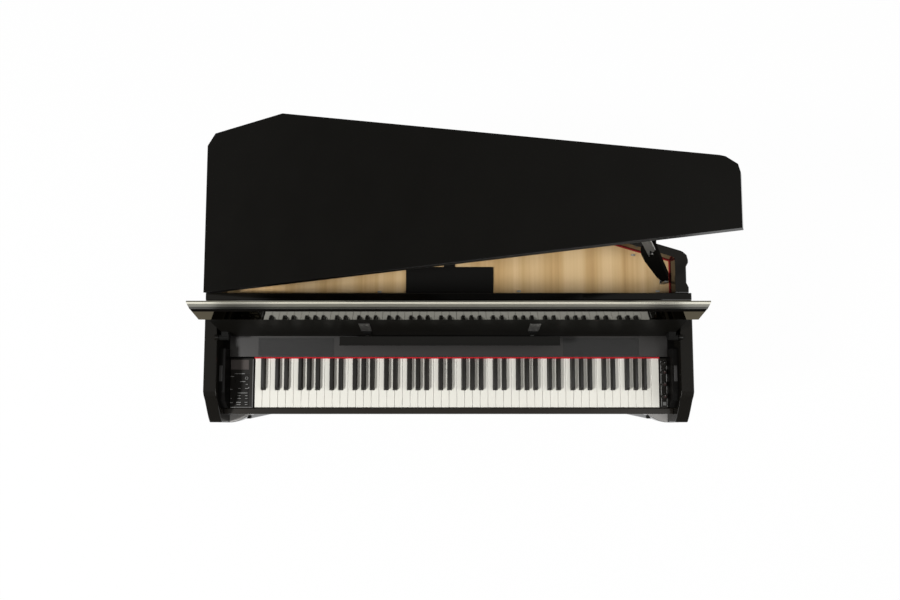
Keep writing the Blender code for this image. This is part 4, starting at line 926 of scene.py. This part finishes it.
@dataclass
class Keyboard:
    """The 88 keys, each with its own shape, over the plain key solids.

    order names the white keys from the lowest one up. offsets says how far the black key
    above each of them stands from the line between two white keys. nose is the sloped front
    of a black key: how far back, share of the width, and height over the white keys.
    """

    pitch: float = 0.02355
    whites: int = 52
    centre: float = 0.0248
    front: float = KEY_FRONT
    top: float = 0.735
    length: float = 0.1466
    end: float = 0.243
    gap: float = 0.0009
    thickness: float = 0.020
    edge: float = 0.0007
    black_front: float = 0.0524
    black_width: float = 0.0122
    black_top: float = 0.0094
    black_height: float = 0.012
    nose: tuple[Point3, ...] = (
        (0.0, 0.94, 0.0010), (0.0012, 1.0, 0.0055), (0.0042, 1.0, 0.0106), (0.0068, 1.0, 0.0118),
    )
    shoulder: float = 0.0010
    shoulder_ease: float = 0.0008
    round_height: float = 0.0009
    round_share: float = 0.86
    notch: float = 0.0011
    joint: float = 0.001
    order: str = "ABCDEFG"
    offsets: dict[str, float] = field(
        default_factory=lambda: {"A": 0.0026, "C": -0.0018, "D": 0.0017, "F": -0.0025, "G": 0.0},
    )
    octave: int = 4
    below_first_c: int = 2
    rail_depth: float = 0.040
    rail_height: float = 0.0125
    rail_edge: float = 0.0005

    def left(self) -> float:
        """X of the left end of the keys."""
        return self.centre - self.whites * self.pitch / 2

    def note(self, index: int) -> str:
        """Letter of a white key."""
        return self.order[index % len(self.order)]

    def blacks(self) -> dict[int, float]:
        """Finds the black keys.

        Returns:
            Number of the white key to the right of each black one, to the black key's middle.
        """
        found = {}
        for index in range(1, self.whites):
            below = self.note(index - 1)
            if below in self.offsets:
                found[index] = self.left() + index * self.pitch + self.offsets[below]
        return found

    def white_outline(self, index: int) -> list[Point3]:
        """Outline of one white key at its top.

        Args:
            index: number of the key from the left.

        Returns:
            The corners, counter-clockwise from the left front.
        """
        blacks = self.blacks()
        left = self.left() + index * self.pitch + self.gap / 2
        right = left + self.pitch - self.gap
        step = self.front + self.black_front - self.notch
        reach = self.black_width / 2 + self.notch
        inner_right = blacks[index + 1] - reach if index + 1 in blacks else right
        inner_left = blacks[index] + reach if index in blacks else left
        points = [(left, self.front), (right, self.front)]
        if index + 1 in blacks:
            points += [(right, step), (inner_right, step)]
        points += [(inner_right, self.front + self.end), (inner_left, self.front + self.end)]
        if index in blacks:
            points += [(inner_left, step), (left, step)]
        return [(x, y, self.top) for x, y in points]

    def black_shape(self, solid: Solid, centre: float) -> None:
        """Adds one black key: a sloped, slightly crowned cap on a straight body.

        Args:
            solid: the piece that it is added to.
            centre: X of its middle.
        """
        low = self.top - self.thickness
        start = self.front + self.black_front
        cap_end = self.front + self.length
        half = self.black_width / 2
        rings = []
        for back, share, rise in (*self.nose, (cap_end - start, 1.0, self.black_height)):
            y = start + back
            top = self.top + rise
            wide = half * share
            narrow = wide + (self.black_top / 2 - half) * rise / self.black_height
            flat = narrow * self.round_share
            side = self.top + min(rise - self.shoulder_ease, self.shoulder)
            corner = top - self.round_height
            profile = [
                (-wide, low), (wide, low), (wide, side), (narrow, corner),
                (flat, top), (-flat, top), (-narrow, corner), (-wide, side),
            ]
            rings.append([solid.mesh.verts.new((centre + x, y, z)) for x, z in profile])
        for first, last in zip(rings, rings[1:]):
            solid.skin(first, last)
        solid.mesh.faces.new(list(reversed(rings[0])))
        solid.mesh.faces.new(rings[-1])
        tail = (centre + half, self.front + self.end, self.top - self.joint)
        solid.box((centre - half, cap_end - self.joint, low), tail)

    def build(self) -> None:
        """Builds every key; the played octave rides on its own bodies."""
        span = len(self.order)
        first = self.below_first_c + span * (self.octave - 1)
        played = range(first, first + span)
        down = (0.0, 0.0, -self.thickness)
        blacks = self.blacks()
        white = Solid("white_keys", "case", Gloss.IVORY)
        for index in range(self.whites):
            if index not in played:
                white.prism(self.white_outline(index), down)
        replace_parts(white.done(self.edge, 2), "fixed_keys")
        black = Solid("black_keys", "case", Gloss.EBONY)
        for index, centre in blacks.items():
            if index not in played:
                self.black_shape(black, centre)
        black.done()
        for index in played:
            name = f"key_{self.note(index).lower()}{self.octave}"
            key = Solid(f"{name}_top", name, Gloss.IVORY)
            key.prism(self.white_outline(index), down)
            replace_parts(key.done(self.edge, 2), name)
        for index, centre in blacks.items():
            if index in played:
                name = f"key_{self.note(index - 1).lower()}_sharp{self.octave}"
                key = Solid(f"{name}_cap", name, Gloss.EBONY)
                self.black_shape(key, centre)
                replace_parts(key.done(), name)
        low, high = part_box("fixed_keys")
        rail = Solid("key_rail", "case", Gloss.BOARD)
        rail.box((low.x, high.y - self.rail_depth, low.z), (high.x, high.y, low.z + self.rail_height))
        rail.done(self.rail_edge)


@dataclass
class Knob:
    """A ribbed knob with a small flat top and a pointer line, over one CAD knob."""

    number: int
    top: Gloss = Gloss.KNOB_TOP
    stand: float = 0.0003
    sides: int = 40
    skirt: Point2 = (0.0090, 0.0090)
    skirt_height: float = 0.0022
    grip: Point2 = (0.0076, 0.0066)
    grip_foot: float = 0.002
    grip_drop: float = 0.001
    stem: Point2 = (0.003, 0.003)
    ribs: int = 20
    rib_reach: float = 0.0074
    rib: Point2 = (0.0006, 0.0004)
    rib_drop: float = 0.0022
    disc: Point2 = (0.0040, 0.0036)
    disc_drop: Point2 = (0.0012, 0.0004)
    pointer_half: Point2 = (0.0004, 0.0018)
    pointer_out: float = 0.0030
    pointer_drop: Point2 = (0.0006, 0.0001)
    edge: float = 0.0003

    def build(self) -> None:
        """Builds the grip, the top and the pointer line."""
        body = f"knob_{self.number}"
        low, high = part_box(body)
        x, y = ((low + high) / 2).xy
        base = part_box("right_control_panel")[1].z + self.stand
        foot, top = base + self.grip_foot, high.z - self.grip_drop
        grip = Solid(f"{body}_cap", body, Gloss.CONTROL)
        grip.post((x, y), (base, base + self.skirt_height), self.skirt, self.sides)
        grip.post((x, y), (foot, top), self.grip, self.sides)
        grip.post((x, y), (low.z, base + self.grip_drop), self.stem, 16)
        for rib in range(self.ribs):
            angle = math.tau * rib / self.ribs
            spot = (x + self.rib_reach * math.cos(angle), y + self.rib_reach * math.sin(angle))
            grip.post(spot, (foot, high.z - self.rib_drop), self.rib, 6)
        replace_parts(grip.done(self.edge), body)
        disc = Solid(f"{body}_top", body, self.top)
        start, end = (high.z - drop for drop in self.disc_drop)
        disc.post((x, y), (start, end), self.disc, 32)
        disc.done()
        pointer = Solid(f"{body}_line", body, Gloss.PRINT)
        start, end = (high.z - drop for drop in self.pointer_drop)
        pointer.block((x, y + self.pointer_out), self.pointer_half, (start, end))
        pointer.done()


@dataclass
class Controls:
    """Printed marks and lines of both control panels, the knobs and the power switch.

    A mark is its left and right end and how far it lies behind the front of the keys. A ring
    is its place, across and back, and its radius.
    """

    mark: float = 0.0011
    mark_depth: float = 0.0006
    marks: tuple[Point3, ...] = (
        (-0.6455, -0.6160, 0.1012), (-0.6585, -0.6476, 0.0927), (-0.6299, -0.6136, 0.0776),
        (-0.6120, -0.6060, 0.0691), (-0.6345, -0.6280, 0.0567), (-0.6136, -0.6045, 0.0567),
        (-0.6362, -0.6069, 0.0431), (-0.6362, -0.6269, 0.0349), (-0.6130, -0.6060, 0.0349),
        (-0.6362, -0.6260, 0.0270), (-0.6130, -0.6060, 0.0270), (-0.6390, -0.6260, 0.0149),
        (-0.6140, -0.6060, 0.0152), (-0.6380, -0.6270, 0.0086), (-0.6130, -0.6060, 0.0084),
        (-0.6565, -0.6545, 0.0270), (-0.6585, -0.6500, 0.0141), (-0.6590, -0.6520, 0.0540),
    )
    ring_spots: tuple[Point3, ...] = ((-0.6097, 0.0876, 0.0040), (-0.6035, 0.0590, 0.0016))
    ring_sides: int = 20
    ring_line: float = 0.0007
    ring_depth: float = 0.0020
    border_inset: Point2 = (0.0030, 0.0012)
    border_line: Point2 = (0.0016, 0.0014)
    border_end: float = 0.003
    border_rise: float = 0.0004
    line_insets: Point2 = (0.0016, 0.0022)
    line_ends: Point2 = (0.004, 0.008)
    line_width: float = 0.0012
    line_rise: float = 0.0003
    knobs: tuple[int, ...] = (1, 2, 3, 4)
    dark_knob: int = 4
    tick_count: int = 4
    tick_turn: float = 34.0
    tick_reach: Point2 = (0.0090, 0.0098)
    tick_half: Point2 = (0.0003, 0.0004)
    tick_side: float = 0.9
    switch_half: Point2 = (0.0048, 0.0052)
    switch_rise: float = 0.0001

    def build(self) -> None:
        """Dresses the panels and adds their marks, knobs and switch mark."""
        dress(Gloss.CONTROL, "left_control_panel", "right_control_panel", "power_switch")
        dress(Gloss.RUBBER, "button_pad")
        dress(Gloss.WINDOW, "display")
        self.pad_marks()
        self.left_border()
        self.right_lines()
        self.knob_marks()
        for number in self.knobs:
            Knob(number, Gloss.CONTROL if number == self.dark_knob else Gloss.KNOB_TOP).build()
        self.switch()

    def pad_marks(self) -> None:
        """Plain ticks and rings on the button pad."""
        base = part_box("left_control_panel")[1].z - self.mark_depth
        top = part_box("button_pad")[1].z
        half = self.mark / 2
        marks = Solid("panel_marks", "case", Gloss.PRINT)
        for left, right, back in self.marks:
            y = KEY_FRONT + back
            marks.box((left, y - half, base), (right, y + half, top + SINK))
        marks.done()
        rings = Solid("button_rings", "case", Gloss.PRINT)
        for x, back, radius in self.ring_spots:
            self.ring(rings, (x, KEY_FRONT + back, top + SINK), radius)
        rings.done()

    def ring(self, solid: Solid, centre: Point3, radius: float) -> None:
        """Adds a flat ring, built from short bars set in a circle.

        Args:
            solid: the piece that it is added to.
            centre: middle of its top.
            radius: its outer radius.
        """
        depth = self.ring_depth + SINK
        for step in range(self.ring_sides):
            first, last = (math.tau * turn / self.ring_sides for turn in (step, step + 1))
            inner = radius - self.ring_line
            corners = [(radius, first), (radius, last), (inner, last), (inner, first)]
            places = [
                (centre[0] + reach * math.cos(angle), centre[1] + reach * math.sin(angle), centre[2] - depth)
                for reach, angle in corners
            ]
            solid.prism(places, (0.0, 0.0, depth))

    def left_border(self) -> None:
        """A faint line along the right and front edges of the left panel."""
        low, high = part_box("left_control_panel")
        edge, front = high.x - self.border_inset[0], low.y + self.border_inset[1]
        base, top = high.z - SINK, high.z + self.border_rise
        border = Solid("panel_border", "case", Gloss.FAINT)
        border.box((edge, front, base), (edge + self.border_line[0], high.y - self.border_end, top))
        border.box((low.x + self.border_end, front, base), (edge, front + self.border_line[1], top))
        border.done()

    def right_lines(self) -> None:
        """Two pale lines along the sides of the right panel."""
        low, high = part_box("right_control_panel")
        front, back = low.y + self.line_ends[0], high.y - self.line_ends[1]
        lines = Solid("right_panel_lines", "case", Gloss.PRINT)
        for x in (low.x + self.line_insets[0], high.x - self.line_insets[1]):
            lines.box((x, front, high.z - SINK), (x + self.line_width, back, high.z + self.line_rise))
        lines.done()

    def knob_marks(self) -> None:
        """Ticks round each knob, left out where they would reach past the panel's sides."""
        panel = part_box("right_control_panel")[1].z
        level = (panel - SINK, panel + SINK)
        ticks = Solid("knob_marks", "case", Gloss.PRINT)
        for number in self.knobs:
            low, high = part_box(f"knob_{number}")
            centre = (low + high) / 2
            for step in range(-self.tick_count, self.tick_count + 1):
                angle = math.radians(90.0 + step * self.tick_turn)
                if abs(math.cos(angle)) > self.tick_side:
                    continue
                x = centre.x + self.tick_reach[0] * math.cos(angle)
                y = centre.y + self.tick_reach[1] * math.sin(angle)
                ticks.block((x, y), self.tick_half, level)
        ticks.done()

    def switch(self) -> None:
        """A plain square mark on the power switch."""
        low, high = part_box("power_switch")
        mark = Solid("switch_mark", "power_switch", Gloss.FAINT)
        mark.block(((low + high) / 2).xy, self.switch_half, (high.z - SINK, high.z + self.switch_rise))
        mark.done()


@dataclass
class Stay:
    """The folding stay: a tapered lower arm and a notched plate at the elbow.

    foot and lid_end are the X and Z of its two pivots at rest. The outlines are distances
    along the line between them and across it.
    """

    foot: Point2 = (0.645, 0.7888)
    lid_end: Point2 = (0.38035, 1.39937)
    arm_y: Point2 = (-0.0035, 0.0165)
    arm: tuple[Point2, ...] = (
        (-0.010, -0.004), (-0.006, -0.010), (0.060, -0.019), (0.300, -0.027), (0.390, -0.026),
        (0.405, -0.014), (0.4065, 0.006), (0.398, 0.0115), (0.030, 0.0115), (-0.006, 0.009), (-0.010, 0.004),
    )
    arm_edge: float = 0.0012
    plate_y: Point2 = (-0.0062, -0.0045)
    plate: tuple[Point2, ...] = (
        (0.358, -0.0095), (0.4336, -0.0007), (0.4094, 0.0039), (0.4314, 0.0116), (0.520, 0.0116),
        (0.545, 0.004), (0.545, -0.0095),
    )
    plate_edge: float = 0.0003
    elbow: float = 0.3936
    pin_y: Point2 = (-0.0074, -0.0029)
    pin: Point2 = (0.0030, 0.0030)
    base_half: float = 0.007
    base_height: float = 0.0022
    post_half: float = 0.006
    post_depth: float = 0.0038
    post_rise: float = 0.006
    post_lap: float = 0.002
    foot_pin: Point2 = (0.0028, 0.0028)
    foot_pin_ends: Point2 = (0.001, 0.0005)
    foot_edge: float = 0.0004

    def spot(self, along: float, across: float, y: float) -> Point3:
        """Place on the stay at rest.

        Args:
            along: distance from the foot towards the lid.
            across: distance across that line.
            y: its depth.

        Returns:
            The place.
        """
        run = (Vector(self.lid_end) - Vector(self.foot)).normalized()
        place = Vector(self.foot) + run * along + Vector((run.y, -run.x)) * across
        return (place.x, y, place.y)

    def slab(self, solid: Solid, outline: Sequence[Point2], depth: Point2) -> None:
        """Adds a flat slab of an outline between two depths."""
        near, far = depth
        solid.prism([self.spot(*point, near) for point in outline], (0.0, far - near, 0.0))

    def build(self) -> None:
        """Builds the arm, the foot, the plate and the elbow pin."""
        dress(Gloss.STAY, "stay_lower_link", "stay_upper_link")
        dress(Gloss.METAL, "elbow_plate")
        dress(Gloss.STEEL, "stay_foot_bracket", "stay_lid_bracket")
        arm = Solid("stay_arm", "stay_lower", Gloss.STAY)
        self.slab(arm, self.arm, self.arm_y)
        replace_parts(arm.done(self.arm_edge, 2), "stay_lower_link", "elbow_plate")
        self.foot_piece()
        plate = Solid("stay_plate", "stay_upper", Gloss.METAL)
        self.slab(plate, self.plate, self.plate_y)
        plate.done(self.plate_edge)
        pin = Solid("stay_elbow_pin", "stay_upper", Gloss.STEEL)
        start, end = (self.spot(self.elbow, 0.0, y) for y in self.pin_y)
        pin.rod(start, end, self.pin, 20)
        pin.done()

    def foot_piece(self) -> None:
        """Small foot that holds the lower pivot: a base, a post and a pin."""
        low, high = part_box("stay_foot_bracket")
        x, pivot = self.foot
        foot = Solid("stay_foot", "case", Gloss.STEEL)
        foot.box((x - self.base_half, low.y, low.z), (x + self.base_half, high.y, low.z + self.base_height))
        post = (x + self.post_half, low.y + self.post_depth, pivot + self.post_rise)
        foot.box((x - self.post_half, low.y, low.z + self.post_lap), post)
        start, end = low.y + self.foot_pin_ends[0], high.y - self.foot_pin_ends[1]
        foot.rod((x, start, pivot), (x, end, pivot), self.foot_pin, 20)
        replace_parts(foot.done(self.foot_edge), "stay_foot_bracket")


@dataclass(frozen=True)
class Lamp:
    """One soft rectangular lamp that is aimed at a point."""

    name: str
    place: Point3
    target: Point3
    size: Point2
    power: float

    def build(self) -> None:
        """Adds the lamp."""
        data = bpy.data.lights.new(self.name, "AREA")
        data.shape = "RECTANGLE"
        data.size, data.size_y = self.size
        data.energy = self.power
        item = bpy.data.objects.new(self.name, data)
        item.location = self.place
        direction = Vector(self.target) - Vector(self.place)
        item.rotation_euler = direction.to_track_quat("-Z", "Y").to_euler()
        bpy.context.scene.collection.objects.link(item)


@dataclass
class Studio:
    """Floor, lights and camera: a key light from the left and weaker fills."""

    lens: float = 25.0
    sensor: float = 36.0
    height: float = 2.629
    side: float = 0.00395
    back: float = -0.34785
    tilt: float = 4.211
    shift: float = 0.0564
    floor_size: float = 40.0
    floor_drop: float = 0.0005
    low_tone: Colour = (0.10, 0.098, 0.092)
    high_tone: Colour = (0.28, 0.275, 0.262)
    horizon: float = 14.0
    lamps: tuple[Lamp, ...] = (
        Lamp("key_light", (-4.0, -1.4, 4.75), (0.0, -0.2, 0.75), (0.9, 0.9), 290.0),
        Lamp("fill_light", (2.6, -1.5, 2.8), (0.1, -0.1, 0.8), (2.0, 2.0), 20.0),
        Lamp("front_light", (0.9, -1.3, 3.0), (0.1, 0.0, 0.8), (2.0, 1.2), 8.0),
        Lamp("board_light", (2.8, 0.2, 2.2), (0.3, 0.1, 0.76), (1.6, 1.6), 30.0),
    )

    def build(self) -> None:
        """Sets up the studio."""
        bpy.context.scene.view_settings.view_transform = "Standard"
        self.floor()
        self.world()
        for lamp in self.lamps:
            lamp.build()
        self.camera()

    def floor(self) -> None:
        """White floor just under the feet."""
        mesh = bmesh.new()
        bmesh.ops.create_grid(mesh, x_segments=1, y_segments=1, size=self.floor_size / 2)
        data = bpy.data.meshes.new("floor")
        mesh.to_mesh(data)
        mesh.free()
        data.materials.append(Gloss.FLOOR.value.material())
        item = bpy.data.objects.new("floor", data)
        item.location = (0.0, 0.0, -self.floor_drop)
        bpy.context.scene.collection.objects.link(item)

    def world(self) -> None:
        """Soft light from all round: white to the camera and, near the horizon, in reflections."""
        world = bpy.data.worlds.new("studio")
        bpy.context.scene.world = world
        world.use_nodes = True
        nodes = NodeKit(world.node_tree, "Background")
        where = Signal(nodes, nodes.add("ShaderNodeTexCoord").outputs["Generated"])
        up = nodes.axis("Z", where)
        overhead = (up * up * up).clamp()
        level = (1.0 - up * self.horizon).clamp()
        shiny = nodes.rays("Is Glossy Ray", "Is Transmission Ray")
        seen = (nodes.rays("Is Camera Ray") + shiny * level).clamp()
        studio = nodes.blend(overhead, self.low_tone, self.high_tone)
        nodes.put(Color=nodes.blend(seen, studio, WHITE), Strength=1.0)

    def camera(self) -> None:
        """Camera above the keys, as in the photograph."""
        data = bpy.data.cameras.new("camera")
        data.lens = self.lens
        data.sensor_width = self.sensor
        data.shift_y = self.shift
        item = bpy.data.objects.new("camera", data)
        item.location = (self.side, self.back, self.height)
        item.rotation_euler = (math.radians(self.tilt), 0.0, 0.0)
        bpy.context.scene.collection.objects.link(item)
        bpy.context.scene.camera = item


def save_sizes() -> None:
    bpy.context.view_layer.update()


def main() -> None:
    """Builds and dresses every sub-assembly in order."""
    logging.basicConfig(level=logging.INFO, format="%(message)s")
    for part in (Case(), Fallboard(), Keyboard(), Controls(), Stay(), Studio()):
        part.build()
        LOG.info("built %s", type(part).__name__)
    save_sizes()


if __name__ == "__main__":
    main()
